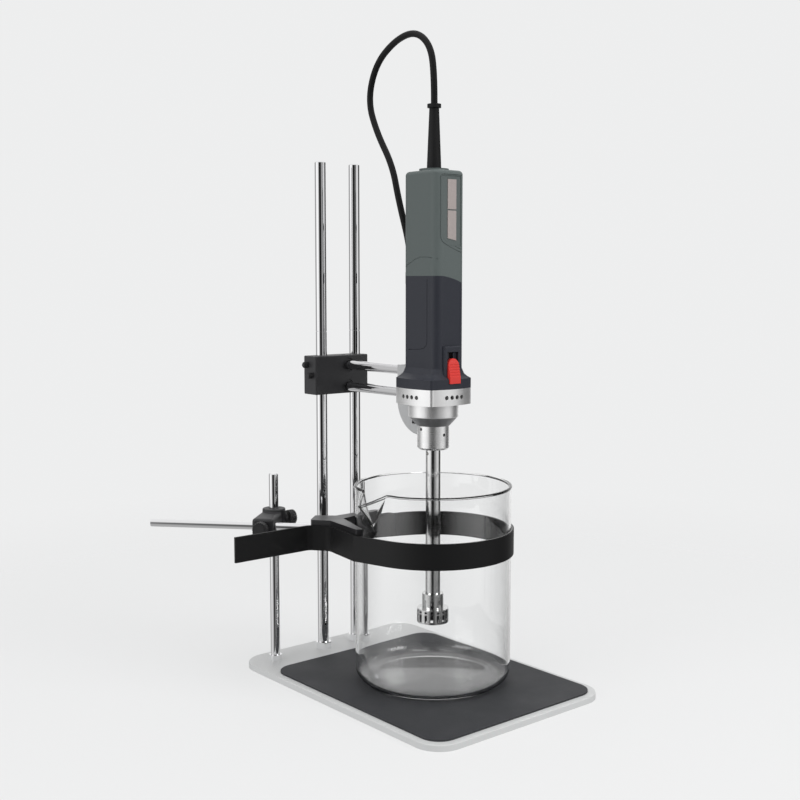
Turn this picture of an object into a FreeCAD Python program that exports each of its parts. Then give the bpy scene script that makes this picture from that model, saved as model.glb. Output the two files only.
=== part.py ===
"""Rotor stator homogenizer on a two-post bench stand, with a strap clamp and a beaker.

Millimetres, +Z up. The origin is the centre of the base plate's underside.
The operator stands on the -Y side and the posts rise on the +Y side.
"""
import FreeCAD, Part
import math
import os

V = FreeCAD.Vector
os.makedirs("parts", exist_ok=True)

# ---- fits and gaps ----
RUNNING_GAP = 0.05      # radial gap of a shaft or post in its bush
SLIDE_GAP = 0.3         # gap between pieces that slide past each other
ROTOR_GAP = 0.3         # shearing gap between rotor teeth and stator wall
SOFT_GAP = 0.3          # gap round soft pieces

# ---- base plate, mat and posts ----
PLATE_W, PLATE_D, PLATE_T = 225.0, 316.0, 6.0
PLATE_CORNER, PLATE_EDGE = 27.0, 1.0
MAT_T, MAT_CORNER = 1.6, 20.0
MAT_MARGIN, MAT_REAR_MARGIN = 7.5, 53.5
POST_D = 12.0
POST_PITCH = 45.0
POST_PAIR_X = 2.0
POST_REAR_MARGIN = 26.5
POST_JOINT_Z = 354.0
POST_TOP = 532.5
POST_STUD_D, POST_STUD_L = 6.0, 14.0
POST_FOOT_D = 8.0
POST_CHAMFER, POST_SEAM = 1.0, 0.4
FOOT_NUT_AF, FOOT_NUT_H = 16.0, 8.0
SHORT_POST_D, SHORT_POST_TOP = 10.0, 207.0
SHORT_POST_LEFT = 85.0          # distance left of the tall posts' middle
SHORT_COLLAR_D, SHORT_COLLAR_H = 13.0, 6.0

# ---- work axis: the motor, the rods and the beaker share one upright plane ----
AXIS_OFFSET, AXIS_REACH = 5.0, 149.8        # right of the posts' middle, and forward of it

# ---- nose of the motor, heights stacked from the sleeve up ----
SLEEVE_D, SLEEVE_Z, SLEEVE_H = 32.2, 241.4, 23.7
SLEEVE_FLOOR, SLEEVE_WALL, SLEEVE_CHAMFER = 6.0, 4.0, 2.0
SLEEVE_GRUB_D, SLEEVE_GRUB_SINK = 3.0, 1.0
SLEEVE_GRUB_DROP = (3.1, 8.5)               # left screw and front screw, below the sleeve's top
TAPER_D, TAPER_BORE, TAPER_H = 48.8, 18.0, 8.8
NECK_D, NECK_CHAMFER, NECK_H = 50.0, 0.6, 13.1
VENT_H = 16.0
VENT_HALF, VENT_BULGE, VENT_CORNER = 27.2, 4.1, 3.5
VENT_CAVITY_D, VENT_FLOOR = 54.0, 3.0
VENT_HOLE_D, VENT_HOLES, VENT_HOLE_PITCH = 4.2, 4, 6.5

# ---- motor housing ----
BODY_HALF_X, BODY_HALF_Y, BODY_CORNER = 19.5, 25.4, 9.0
BODY_WALL = 2.2
SKIRT_H, SHOULDER_H = 9.5, 10.5
LOWER_H, UPPER_H = 89.5, 101.0              # shoulder to colour split, split to crown
SPLIT_DROP = 9.0
BODY_TOP_EDGE = 4.0
TOP_BOSS_D, TOP_BOSS_H = 29.0, 2.3
PANEL_W, PANEL_RISE, PANEL_H, PANEL_SINK = 25.0, 28.5, 67.0, 0.8
PANEL_CUT = 11.0
PLATE_STRIP_W, PLATE_STRIP_T = 11.0, 0.6
PLATE_STRIP_RISE, PLATE_STRIP_H, PLATE_STRIP_SPLIT = 5.5, 58.0, 1.2

# ---- cross block and rods ----
BLOCK_W, BLOCK_D, BLOCK_H = 70.0, 22.0, 41.0
BLOCK_OFFSET = -3.0                         # from the posts' middle
BLOCK_CHAMFER = 0.8
ROD_D, ROD_PITCH = 10.0, 23.0
ROD_RISE = 7.5                              # lower rod above the block's underside
BLOCK_SEAT, WEB_SEAT = 18.0, 15.0
ROD_RELIEF_D, ROD_RELIEF = 15.0, 1.2
BLOCK_SCREW_D, BLOCK_SCREW_HEAD_D, BLOCK_SCREW_HEAD_L = 4.0, 6.5, 5.5
BLOCK_SCREWS = {"rear": (4.0, 31.5), "front": (-4.0, 20.5)}    # offset in Y, height above block
KNURL_FLUTES, KNURL_D = 8, 1.2
GRUB_D, GRUB_SINK = 5.0, 0.3

# ---- motor bracket ----
WEB_T, WEB_BACK, WEB_ROUND = 16.0, 46.8, 33.5       # back edge behind the axis, heel radius
WEB_DROP = 68.5                                     # top to bottom
WEB_CHAMFER = 0.8
BRACKET_SCREWS = ((-4.0, -8.0), (4.0, -8.0), (0.0, 19.0))      # offset in X, height from the vent
BRACKET_SCREW_D, BRACKET_HEAD_D, BRACKET_HEAD_L = 4.0, 7.0, 4.0
BRACKET_SCREW_BITE, BRACKET_HEAD_SINK = 5.0, 5.0

# ---- switch ----
BUTTON_W, BUTTON_RISE, BUTTON_H = 13.6, 5.5, 24.3
BUTTON_PROUD, BUTTON_RIBS, BUTTON_RIB_D, BUTTON_RIB_PITCH, BUTTON_TOE = 7.0, 5, 1.4, 2.6, 6.0
BUTTON_TRAVEL = 6.0
SWITCH_PAD_W, SWITCH_PAD_PROUD, SWITCH_PAD_FOOT, SWITCH_PAD_HEAD = 21.0, 3.0, 4.0, 6.0
TONGUE_W, TONGUE_REACH = 5.0, 2.0
SWITCH_BODY = (15.0, 9.0, 34.0)

# ---- motor inside ----
SHAFT_D = 8.0
CORE_RISE, CORE_H, CORE_BORE = 69.0, 46.0, 25.2         # above the shoulder
COIL_W, COIL_T, COIL_BUILD = 27.0, 5.0, 6.0
COIL_POLE_Y = 14.0
ARMATURE_GAP, ARMATURE_HEAD, ARMATURE_SLOTS, ARMATURE_SLOT_D = 0.4, 4.0, 8, 2.4
COMMUTATOR_D, COMMUTATOR_H, COMMUTATOR_RISE = 16.0, 12.0, 58.0
BRUSH = (5.0, 6.0, 7.0)
BRUSH_BOX_WALL = 1.2
BRIDGE_RISE, BRIDGE_T = 75.0, 7.0                       # above the stator core's underside
TOP_BEARING = (7.0, 19.0, 6.0)      # bore, outside, width
NOSE_BEARING = (8.0, 22.0, 7.0)
NOSE_BEARING_RISE = 3.1
NOSE_SEAL_T = 3.0
FAN_D, FAN_RISE, FAN_H, FAN_DISC, FAN_HUB_D, FAN_BLADES, FAN_BLADE_T = 48.0, 1.5, 9.0, 1.5, 14.0, 9, 1.4
COUPLING_D, COUPLING_H, COUPLING_RISE = 16.0, 20.0, 1.6

# ---- dispersing tool ----
TUBE_D, TUBE_BORE = 15.0, 10.0
TUBE_VENT_D, TUBE_VENT_DROP = 3.0, 10.4
DRIVE_D = 6.0
BUSH_L, BUSH_STEP = 12.0, 2.0
HEAD_D, HEAD_WALL, HEAD_Z, HEAD_H = 32.0, 2.4, 65.8, 14.2
HEAD_SLOTS, HEAD_SLOT_W, HEAD_SLOT_Z, HEAD_SLOT_H = 16, 2.6, 1.6, 7.8
HEAD_PORT_Z, HEAD_PORT_H = 10.8, 1.9
HEAD_ROOF = 2.0
CAGE_D, CAGE_WALL, CAGE_H, CAGE_LEGS, CAGE_LEG_W = 21.5, 2.5, 9.0, 8, 4.6
CAGE_HUB_H = 6.0
ROTOR_H, ROTOR_BLADES, ROTOR_BLADE_T, ROTOR_HUB_D = 9.0, 6, 2.2, 11.0
ROTOR_SHAFT_SINK = 2.0

# ---- beaker ----
BEAKER_D, BEAKER_WALL, BEAKER_FLOOR = 156.4, 2.4, 3.0
BEAKER_TOP, BEAKER_FOOT_ROUND = 206.0, 14.0
BEAKER_BEAD = 1.3
SPOUT_W, SPOUT_DROP, SPOUT_REACH, SPOUT_DEPTH = 37.0, 11.0, 17.0, 33.0
SPOUT_LIP_HALF, SPOUT_LIP_DEEP = 4.0, 5.0

# ---- vessel clamp, laid out along its own line from the beaker's axis ----
CLAMP_ANGLE = 131.8
CLAMP_Z = 157.5
JAW_H, JAW_HALF = 21.0, 11.5
JAW_BLOCK, JAW_NECK = 44.8, 23.8          # block's end face and its kink, out from the glass
JAW_GRIP_ANGLE, JAW_TIP_OUT, JAW_TIP_R = 36.2, 7.3, 2.0
JAW_FLARE, JAW_V_ANGLE = 1.5, 59.2
CLAMP_ROD_D, CLAMP_ROD_L, CLAMP_ROD_SEAT = 8.0, 188.6, 17.0
STRAP_W, STRAP_T, STRAP_Z = 25.2, 2.4, 137.4
STRAP_TAIL, STRAP_LAP = 87.0, 4.0
STRAP_KINK_R, STRAP_TIP_R, STRAP_TURN_R = 12.0, 4.0, 9.0
STRAP_SCREW_D, STRAP_SCREW_HEAD, STRAP_SCREW_HEAD_L, STRAP_SCREW_DROP = 4.0, 9.0, 2.4, 3.0
BOSS_W, BOSS_H, BOSS_SHIFT = 22.0, 28.0, 1.5
BOSS_WALL, BOSS_ARM_SET, BOSS_ROUND = 7.0, 3.0, 3.0
LUG_D, LUG_PROUD = 14.0, 2.0
KNOB_D, KNOB_H, KNOB_LOBES, KNOB_LOBE_D = 16.0, 8.0, 8, 3.2
KNOB_STEM_D, KNOB_STEM = 6.0, 3.0

# ---- power cord ----
CORD_D = 6.5
BOOT_BASE_D, BOOT_TIP_D, BOOT_L = 14.2, 9.5, 58.4
BOOT_RING_D, BOOT_RING_H = 13.5, 3.5
BOOT_FLANGE, BOOT_FLANGE_T = 2.0, 2.0
HANK_OFFSET = 4.0               # hank's left side, right of the work axis
HANK_FOLD = 19.5                # fold radius at the cord's centre line
HANK_RUN = 117.0
HANK_LAYERS = 3
HANK_ENTRY = 86.8               # where the cord meets the hank, above its seat
HANK_ENTRY_RUN = 38.3
PLUG_BODY = (22.0, 15.0, 34.0)
PLUG_ROUND, PLUG_DROP, PLUG_NECK = 3.0, 17.0, 12.0
PLUG_PIN_D, PLUG_PIN_L, PLUG_PIN_PITCH = 4.0, 19.0, 12.5
TIE_W, TIE_T, TIE_RISE = 12.0, 1.0, 10.0

# cord route beyond the boot's ring: right of the axis, behind it, and above the ring
CORD_LOOP = [
    (0.0, 0.0, 27.1), (0.2, 5.5, 56.1), (0.4, 27.5, 73.2), (0.7, 58.4, 70.0), (1.0, 91.1, 50.8),
    (1.2, 104.6, 15.7), (1.4, 91.0, -17.6), (1.6, 65.4, -53.5), (2.0, 56.1, -89.0),
]

# ---- worked out from the sizes above ----
POST_Y = PLATE_D / 2 - POST_REAR_MARGIN
POST_X = {"left": POST_PAIR_X - POST_PITCH / 2, "right": POST_PAIR_X + POST_PITCH / 2}
SHORT_POST_X, SHORT_POST_Y = POST_PAIR_X - SHORT_POST_LEFT, POST_Y + (POST_D - SHORT_POST_D) / 2
AXIS_X, AXIS_Y = POST_PAIR_X + AXIS_OFFSET, POST_Y - AXIS_REACH
MAT_W, MAT_D = PLATE_W - 2 * MAT_MARGIN, PLATE_D - MAT_MARGIN - MAT_REAR_MARGIN
MAT_Y = (MAT_MARGIN - MAT_REAR_MARGIN) / 2
MAT_TOP = PLATE_T + MAT_T

SLEEVE_TOP = SLEEVE_Z + SLEEVE_H
TAPER_TOP = SLEEVE_TOP + TAPER_H
VENT_Z = TAPER_TOP + NECK_H
VENT_TOP = VENT_Z + VENT_H
SKIRT_TOP = VENT_TOP + SKIRT_H
SHOULDER_TOP = SKIRT_TOP + SHOULDER_H
SPLIT_Z = SHOULDER_TOP + LOWER_H
BODY_TOP = SPLIT_Z + UPPER_H
BODY_BACK, BODY_FRONT = AXIS_Y + BODY_HALF_Y, AXIS_Y - BODY_HALF_Y
PANEL_Z0 = SPLIT_Z + PANEL_RISE
PANEL_Z1 = PANEL_Z0 + PANEL_H
PLATE_STRIP_Z0 = PANEL_Z0 + PLATE_STRIP_RISE
PLATE_STRIP_Z1 = PLATE_STRIP_Z0 + PLATE_STRIP_H
BUTTON_Z0 = VENT_TOP + BUTTON_RISE
BUTTON_Z1 = BUTTON_Z0 + BUTTON_H

BLOCK_X, BLOCK_Z = POST_PAIR_X + BLOCK_OFFSET, VENT_Z
BLOCK_FRONT = POST_Y - BLOCK_D / 2
BLOCK_LEFT = BLOCK_X - BLOCK_W / 2
ROD_ZS = (BLOCK_Z + ROD_RISE, BLOCK_Z + ROD_RISE + ROD_PITCH)
WEB_REAR, WEB_TOP = AXIS_Y + WEB_BACK, SHOULDER_TOP
WEB_BOTTOM = WEB_TOP - WEB_DROP

CORE_Z = SHOULDER_TOP + CORE_RISE
COMMUTATOR_Z = CORE_Z + COMMUTATOR_RISE
BRIDGE_Z = CORE_Z + BRIDGE_RISE
NOSE_BEARING_Z = TAPER_TOP + NOSE_BEARING_RISE
FAN_Z = VENT_Z + VENT_FLOOR + FAN_RISE
COUPLING_Z = SLEEVE_Z + SLEEVE_FLOOR + COUPLING_RISE

HEAD_TOP = HEAD_Z + HEAD_H
TUBE_Z = HEAD_TOP + CAGE_H
TUBE_TOP = SLEEVE_Z + SLEEVE_FLOOR
ROTOR_Z = HEAD_Z + HEAD_SLOT_Z
DRIVE_Z = ROTOR_Z + ROTOR_SHAFT_SINK
BUSH_Z = (TUBE_Z + BUSH_STEP, (TUBE_Z + TUBE_TOP - BUSH_L) / 2, TUBE_TOP - BUSH_L)

BEAKER_R = BEAKER_D / 2
STRAP_R = BEAKER_R + SLIDE_GAP + STRAP_T / 2      # centre line round the glass
STRAP_OFF = STRAP_T / 2 + SLIDE_GAP / 3           # centre line off the jaw's side
JAW_Z = CLAMP_Z - JAW_H / 2
JAW_END, JAW_KINK = BEAKER_R + JAW_BLOCK, BEAKER_R + JAW_NECK
JAW_TIP_X = (BEAKER_R + JAW_TIP_OUT) * math.cos(math.radians(JAW_GRIP_ANGLE))
JAW_TIP_Y = (BEAKER_R + JAW_TIP_OUT) * math.sin(math.radians(JAW_GRIP_ANGLE))
JAW_APEX = (BEAKER_R + SLIDE_GAP) / math.sin(math.radians(JAW_V_ANGLE))
STRAP_SCREW_BITE = JAW_HALF - CLAMP_ROD_D / 2 - 0.5
STRAP_SCREW_S, STRAP_SCREW_Z = (JAW_END + JAW_KINK) / 2, CLAMP_Z - STRAP_SCREW_DROP
CLAMP_ROD_START = JAW_END - CLAMP_ROD_SEAT

BOOT_TIP_Z = BODY_TOP + TOP_BOSS_H + BOOT_L
HANK_OUT = HANK_FOLD + CORD_D / 2
HANK_DEEP = HANK_LAYERS * CORD_D
HANK_X = AXIS_X + HANK_OFFSET
HANK_Y = BODY_BACK + 2 * SOFT_GAP + TIE_T
HANK_MID_X = HANK_X + HANK_OUT
HANK_EDGE = HANK_MID_X - AXIS_X - WEB_T / 2       # fold's middle, right of the web's edge
HANK_LOW = WEB_TOP + 0.1 + math.sqrt(max(HANK_OUT ** 2 - HANK_EDGE ** 2, 0))
HANK_ENTRY_Z = HANK_LOW - HANK_OUT + HANK_ENTRY
PLUG_Y = HANK_Y + HANK_DEEP + SOFT_GAP + PLUG_BODY[1] / 2
CORD_END_Y = HANK_Y + HANK_DEEP - CORD_D / 2
BOOT_END = BOOT_TIP_Z + BOOT_RING_H
CORD_ROUTE = [(AXIS_X, AXIS_Y, BOOT_END)]
CORD_ROUTE += [(AXIS_X + x, AXIS_Y + y, BOOT_END + z) for x, y, z in CORD_LOOP]
CORD_ROUTE += [(HANK_X + CORD_D / 2, CORD_END_Y, HANK_ENTRY_Z + HANK_ENTRY_RUN)]
CORD_ROUTE += [(HANK_X + CORD_D / 2, CORD_END_Y, HANK_ENTRY_Z)]


def box(x, y, z, dx, dy, dz):
    """Box centred on x and y, standing on z."""
    return Part.makeBox(dx, dy, dz, V(x - dx / 2, y - dy / 2, z))


def disc(x, y, z, d, h):
    """Upright cylinder of diameter d standing on z."""
    return Part.makeCylinder(d / 2, h, V(x, y, z))


def bar(start, direction, d, length):
    """Cylinder of diameter d from a point along a direction."""
    return Part.makeCylinder(d / 2, length, V(*start), V(*direction))


def ring(x, y, z, d_out, d_in, h):
    return disc(x, y, z, d_out, h).cut(disc(x, y, z, d_in, h))


def turned(profile, x=AXIS_X, y=AXIS_Y):
    """Solid of revolution about an upright axis; profile is a list of (radius, z)."""
    wire = Part.makePolygon([V(x + r, y, z) for r, z in profile + profile[:1]])
    return Part.Face(wire).revolve(V(x, y, 0), V(0, 0, 1), 360)


def hexagon(x, y, z, across, h):
    reach = across / math.sqrt(3)
    points = [V(x + reach * math.cos(math.radians(60 * i)),
                y + reach * math.sin(math.radians(60 * i)), z) for i in range(7)]
    return Part.Face(Part.makePolygon(points)).extrude(V(0, 0, h))


def section(half_x, half_y, corner, z, bulge=0.0, x=AXIS_X, y=AXIS_Y):
    """Closed wire of a rounded rectangle whose sides may bow outwards."""
    flat_x, flat_y = half_x - corner, half_y - corner
    k = corner * (1 - math.sqrt(0.5))
    edges = []
    for turn in range(4):
        quarter = turn * 90
        hx, fy = (half_x, flat_y) if turn % 2 == 0 else (half_y, flat_x)
        hy = half_y if turn % 2 == 0 else half_x
        fx = hx - corner
        start, middle, end = V(hx, -fy, 0), V(hx + bulge, 0, 0), V(hx, fy, 0)
        side = Part.Arc(start, middle, end).toShape() if bulge else Part.makeLine(start, end)
        bend = Part.Arc(end, V(hx - k, hy - k, 0), V(fx, hy, 0)).toShape()
        for edge in (side, bend):
            edge.rotate(V(0, 0, 0), V(0, 0, 1), quarter)
            edge.translate(V(x, y, z))
            edges.append(edge)
    return Part.Wire(edges)


def prism(wire, h):
    return Part.Face(wire).extrude(V(0, 0, h))


def upright_edges(shape):
    """Straight edges of a shape that run along Z."""
    return [e for e in shape.Edges if abs(e.tangentAt(e.FirstParameter).z) > 0.999]


def save(name, *solids):
    """Writes one node, as separate solids where it has several."""
    shapes = [piece for solid in solids for piece in solid.Solids]
    shape = shapes[0] if len(shapes) == 1 else Part.makeCompound(shapes)
    assert shape.isValid(), name
    shape.exportStep(f"parts/{name}.step")


# ---- base plate and mat ----
def base_plate():
    plate = box(0, 0, 0, PLATE_W, PLATE_D, PLATE_T)
    plate = plate.makeFillet(PLATE_CORNER, upright_edges(plate))
    top_rim = [e for e in plate.Edges if e.BoundBox.ZMin > PLATE_T - 0.01]
    plate = plate.makeFillet(PLATE_EDGE, top_rim)
    for x in POST_X.values():
        plate = plate.cut(disc(x, POST_Y, 0, POST_FOOT_D, PLATE_T))
    return plate.cut(disc(SHORT_POST_X, SHORT_POST_Y, 0, POST_FOOT_D, PLATE_T))


def rubber_mat():
    mat = box(0, MAT_Y, PLATE_T, MAT_W, MAT_D, MAT_T)
    return mat.makeFillet(MAT_CORNER, upright_edges(mat))


save("base_plate", base_plate())
save("rubber_mat", rubber_mat())


# ---- posts: each a lower and an upper length, screwed together ----
def post_lower(x):
    r, seam, socket = POST_D / 2, POST_JOINT_Z - POST_SEAM, POST_JOINT_Z - POST_STUD_L
    return turned([(0, 0), (POST_FOOT_D / 2, 0), (POST_FOOT_D / 2, PLATE_T), (r, PLATE_T), (r, seam),
                   (r - POST_SEAM, POST_JOINT_Z), (POST_STUD_D / 2, POST_JOINT_Z),
                   (POST_STUD_D / 2, socket), (0, socket)], x, POST_Y)


def post_upper(x):
    r = POST_D / 2
    profile = [(0, POST_JOINT_Z - POST_STUD_L), (POST_STUD_D / 2, POST_JOINT_Z - POST_STUD_L),
               (POST_STUD_D / 2, POST_JOINT_Z), (r - POST_SEAM, POST_JOINT_Z),
               (r, POST_JOINT_Z + POST_SEAM), (r, POST_TOP - POST_CHAMFER),
               (r - POST_CHAMFER, POST_TOP), (0, POST_TOP)]
    return turned(profile, x, POST_Y)


for side, x in POST_X.items():
    save(f"post_{side}_lower", post_lower(x))
    save(f"post_{side}_upper", post_upper(x))
save("post_foot_nuts", *[hexagon(x, POST_Y, PLATE_T, FOOT_NUT_AF, FOOT_NUT_H)
                         .cut(disc(x, POST_Y, PLATE_T, POST_D, FOOT_NUT_H)) for x in POST_X.values()])

short_r = SHORT_POST_D / 2
save("short_post", turned([(0, 0), (POST_FOOT_D / 2, 0), (POST_FOOT_D / 2, PLATE_T), (short_r, PLATE_T),
                           (short_r, SHORT_POST_TOP - POST_CHAMFER),
                           (short_r - POST_CHAMFER, SHORT_POST_TOP), (0, SHORT_POST_TOP)],
                          SHORT_POST_X, SHORT_POST_Y))
save("short_post_collar", ring(SHORT_POST_X, SHORT_POST_Y, PLATE_T, SHORT_COLLAR_D, SHORT_POST_D,
                               SHORT_COLLAR_H))


# ---- cross block, its rods and screws ----
def cross_block():
    block = box(BLOCK_X, POST_Y, BLOCK_Z, BLOCK_W, BLOCK_D, BLOCK_H)
    block = block.makeChamfer(BLOCK_CHAMFER, block.Edges)
    for x in POST_X.values():
        block = block.cut(disc(x, POST_Y, BLOCK_Z, POST_D + 2 * RUNNING_GAP, BLOCK_H))
    for z in ROD_ZS:
        block = block.cut(bar((AXIS_X, BLOCK_FRONT, z), (0, 1, 0), ROD_D, BLOCK_SEAT))
        block = block.cut(bar((AXIS_X, BLOCK_FRONT, z), (0, 1, 0), ROD_RELIEF_D, ROD_RELIEF))
    for dy, dz in BLOCK_SCREWS.values():
        length = POST_X["left"] - BLOCK_LEFT
        hole = bar((BLOCK_LEFT, POST_Y + dy, BLOCK_Z + dz), (1, 0, 0),
                   BLOCK_SCREW_D + 2 * RUNNING_GAP, length)
        block = block.cut(hole)
    grub_y = BLOCK_FRONT + BLOCK_SEAT / 2
    block = block.cut(disc(AXIS_X, grub_y, BLOCK_Z, GRUB_D, ROD_ZS[0] - BLOCK_Z))
    return block.cut(disc(AXIS_X, grub_y, ROD_ZS[1], GRUB_D, BLOCK_Z + BLOCK_H - ROD_ZS[1]))


def block_screw(dy, dz):
    """Knurled screw whose shank stops against the left post."""
    r = POST_D / 2 + RUNNING_GAP
    near = abs(dy) - BLOCK_SCREW_D / 2
    tip = POST_X["left"] - math.sqrt(r * r - near * near) - RUNNING_GAP
    start = (BLOCK_LEFT - SLIDE_GAP, POST_Y + dy, BLOCK_Z + dz)
    shank = bar(start, (1, 0, 0), BLOCK_SCREW_D, tip - start[0])
    head = bar(start, (-1, 0, 0), BLOCK_SCREW_HEAD_D, BLOCK_SCREW_HEAD_L)
    for i in range(KNURL_FLUTES):
        a = 2 * math.pi * i / KNURL_FLUTES
        y = start[1] + BLOCK_SCREW_HEAD_D / 2 * math.cos(a)
        z = start[2] + BLOCK_SCREW_HEAD_D / 2 * math.sin(a)
        head = head.cut(bar((start[0], y, z), (-1, 0, 0), KNURL_D, BLOCK_SCREW_HEAD_L))
    return shank.fuse(head)


def support_rod(z):
    """Rod from its seat in the block to its seat in the bracket web."""
    front = WEB_REAR - WEB_SEAT
    return bar((AXIS_X, front, z), (0, 1, 0), ROD_D, BLOCK_FRONT + BLOCK_SEAT - front)


def rod_grubs():
    """Socket grub screws that press on the rods in the block and in the web."""
    r = ROD_D / 2
    grub_y, web_y = BLOCK_FRONT + BLOCK_SEAT / 2, WEB_REAR - WEB_SEAT / 2
    low, high = ROD_ZS
    grubs = [disc(AXIS_X, grub_y, BLOCK_Z + GRUB_SINK, GRUB_D, low - r - BLOCK_Z - GRUB_SINK),
             disc(AXIS_X, grub_y, high + r, GRUB_D, BLOCK_Z + BLOCK_H - high - r - GRUB_SINK)]
    for z in ROD_ZS:
        grubs.append(bar((AXIS_X + r, web_y, z), (1, 0, 0), GRUB_D, WEB_T / 2 - r - GRUB_SINK))
    return grubs


save("cross_block", cross_block())
for name, (dy, dz) in BLOCK_SCREWS.items():
    save(f"block_screw_{name}", block_screw(dy, dz))
save("rod_lower", support_rod(ROD_ZS[0]))
save("rod_upper", support_rod(ROD_ZS[1]))
save("rod_grub_screws", *rod_grubs())


# ---- nose: sleeve, taper ring and vent housing ----
def vent_outer(z, h, grow=0.0):
    return prism(section(VENT_HALF + grow, VENT_HALF + grow, VENT_CORNER, z, VENT_BULGE), h)


def vent_housing():
    neck_r = NECK_D / 2
    neck = turned([(0, TAPER_TOP), (neck_r - NECK_CHAMFER, TAPER_TOP), (neck_r, TAPER_TOP + NECK_CHAMFER),
                   (neck_r, VENT_Z), (0, VENT_Z)])
    shell = vent_outer(VENT_Z, VENT_TOP - VENT_Z).fuse(neck)
    shell = shell.cut(disc(AXIS_X, AXIS_Y, VENT_Z + VENT_FLOOR, VENT_CAVITY_D, VENT_TOP - VENT_Z))
    shell = shell.cut(disc(AXIS_X, AXIS_Y, TAPER_TOP, NOSE_BEARING[1], NOSE_BEARING_Z + NOSE_BEARING[2]
                           - TAPER_TOP))
    shell = shell.cut(disc(AXIS_X, AXIS_Y, TAPER_TOP, SHAFT_D * 1.5, VENT_TOP - TAPER_TOP))
    middle = (VENT_Z + VENT_TOP) / 2
    reach = VENT_HALF + VENT_BULGE + 1
    for turn in range(4):
        for i in range(VENT_HOLES):
            offset = (i - (VENT_HOLES - 1) / 2) * VENT_HOLE_PITCH
            hole = bar((AXIS_X + reach, AXIS_Y + offset, middle), (-1, 0, 0), VENT_HOLE_D, reach / 2)
            hole.rotate(V(AXIS_X, AXIS_Y, 0), V(0, 0, 1), 90 * turn)
            shell = shell.cut(hole)
    for dx, z in bracket_screw_places():
        shell = shell.cut(bracket_shank(dx, z))
    return shell


def bracket_screw_places():
    """Offset in X and height of each bracket screw, lowest first."""
    return [(dx, VENT_Z + rise) for dx, rise in BRACKET_SCREWS]


def web_back(z):
    """Y of the web's rear edge at a height."""
    drop = max(WEB_BOTTOM + WEB_ROUND - z, 0)
    return WEB_REAR - WEB_ROUND + math.sqrt(WEB_ROUND ** 2 - drop ** 2)


def bracket_head_seat(z):
    return web_back(z) - BRACKET_HEAD_SINK


def bracket_shank(dx, z):
    """Screw shank from its bite in the nose to the head's seat."""
    face = AXIS_Y + (VENT_HALF + VENT_BULGE if z > VENT_Z else NECK_D / 2)
    start = face - BRACKET_SCREW_BITE
    return bar((AXIS_X + dx, start, z), (0, 1, 0), BRACKET_SCREW_D, bracket_head_seat(z) - start)


def bracket_screw(dx, z):
    seat = bracket_head_seat(z)
    head = bar((AXIS_X + dx, seat, z), (0, 1, 0), BRACKET_HEAD_D, BRACKET_HEAD_L)
    socket_start = (AXIS_X + dx, seat + BRACKET_HEAD_L, z)
    socket = bar(socket_start, (0, -1, 0), BRACKET_SCREW_D * 0.8, BRACKET_HEAD_L * 0.6)
    return bracket_shank(dx, z).fuse(head).cut(socket)


def motor_bracket():
    """Web plate with a rounded heel, scooped to seat on the vent housing and its neck."""
    x0 = AXIS_X - WEB_T / 2
    heel_y, heel_z = WEB_REAR - WEB_ROUND, WEB_BOTTOM + WEB_ROUND
    a = math.radians(-45)
    corner = V(x0, heel_y + WEB_ROUND * math.cos(a), heel_z + WEB_ROUND * math.sin(a))
    edges = [Part.makeLine(V(x0, AXIS_Y, WEB_BOTTOM), V(x0, heel_y, WEB_BOTTOM)),
             Part.Arc(V(x0, heel_y, WEB_BOTTOM), corner, V(x0, WEB_REAR, heel_z)).toShape(),
             Part.makeLine(V(x0, WEB_REAR, heel_z), V(x0, WEB_REAR, WEB_TOP)),
             Part.makeLine(V(x0, WEB_REAR, WEB_TOP), V(x0, AXIS_Y, WEB_TOP)),
             Part.makeLine(V(x0, AXIS_Y, WEB_TOP), V(x0, AXIS_Y, WEB_BOTTOM))]
    web = Part.Face(Part.Wire(edges)).extrude(V(WEB_T, 0, 0))
    rim = [e for e in web.Edges if e.BoundBox.YMin > AXIS_Y + 1 and e.BoundBox.XLength < 0.1]
    web = web.makeChamfer(WEB_CHAMFER, rim)
    web = web.cut(disc(AXIS_X, AXIS_Y, WEB_BOTTOM, SLEEVE_D + 2 * SLIDE_GAP, SLEEVE_TOP - WEB_BOTTOM))
    web = web.cut(disc(AXIS_X, AXIS_Y, SLEEVE_TOP, TAPER_D + 2 * SLIDE_GAP, TAPER_TOP - SLEEVE_TOP))
    web = web.cut(disc(AXIS_X, AXIS_Y, TAPER_TOP, NECK_D, VENT_Z - TAPER_TOP))
    web = web.cut(vent_outer(VENT_Z, WEB_TOP - VENT_Z))
    for z in ROD_ZS:
        web = web.cut(bar((AXIS_X, WEB_REAR - WEB_SEAT, z), (0, 1, 0), ROD_D, WEB_SEAT))
        web = web.cut(bar((AXIS_X, WEB_REAR - WEB_SEAT / 2, z), (1, 0, 0), GRUB_D, WEB_T))
    for dx, z in bracket_screw_places():
        web = web.cut(bracket_shank(dx, z))
        web = web.cut(bar((AXIS_X + dx, bracket_head_seat(z), z), (0, 1, 0), BRACKET_HEAD_D,
                          2 * BRACKET_HEAD_SINK))
    return web


def coupling_sleeve():
    r, c = SLEEVE_D / 2, SLEEVE_CHAMFER
    sleeve = turned([(0, SLEEVE_Z), (r - c, SLEEVE_Z), (r, SLEEVE_Z + c), (r, SLEEVE_TOP), (0, SLEEVE_TOP)])
    sleeve = sleeve.cut(disc(AXIS_X, AXIS_Y, SLEEVE_Z, TUBE_D, SLEEVE_FLOOR))
    sleeve = sleeve.cut(disc(AXIS_X, AXIS_Y, SLEEVE_Z + SLEEVE_FLOOR, SLEEVE_D - 2 * SLEEVE_WALL,
                             SLEEVE_TOP - SLEEVE_Z))
    for hole in sleeve_grub_holes(0):
        sleeve = sleeve.cut(hole)
    return sleeve


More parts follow.
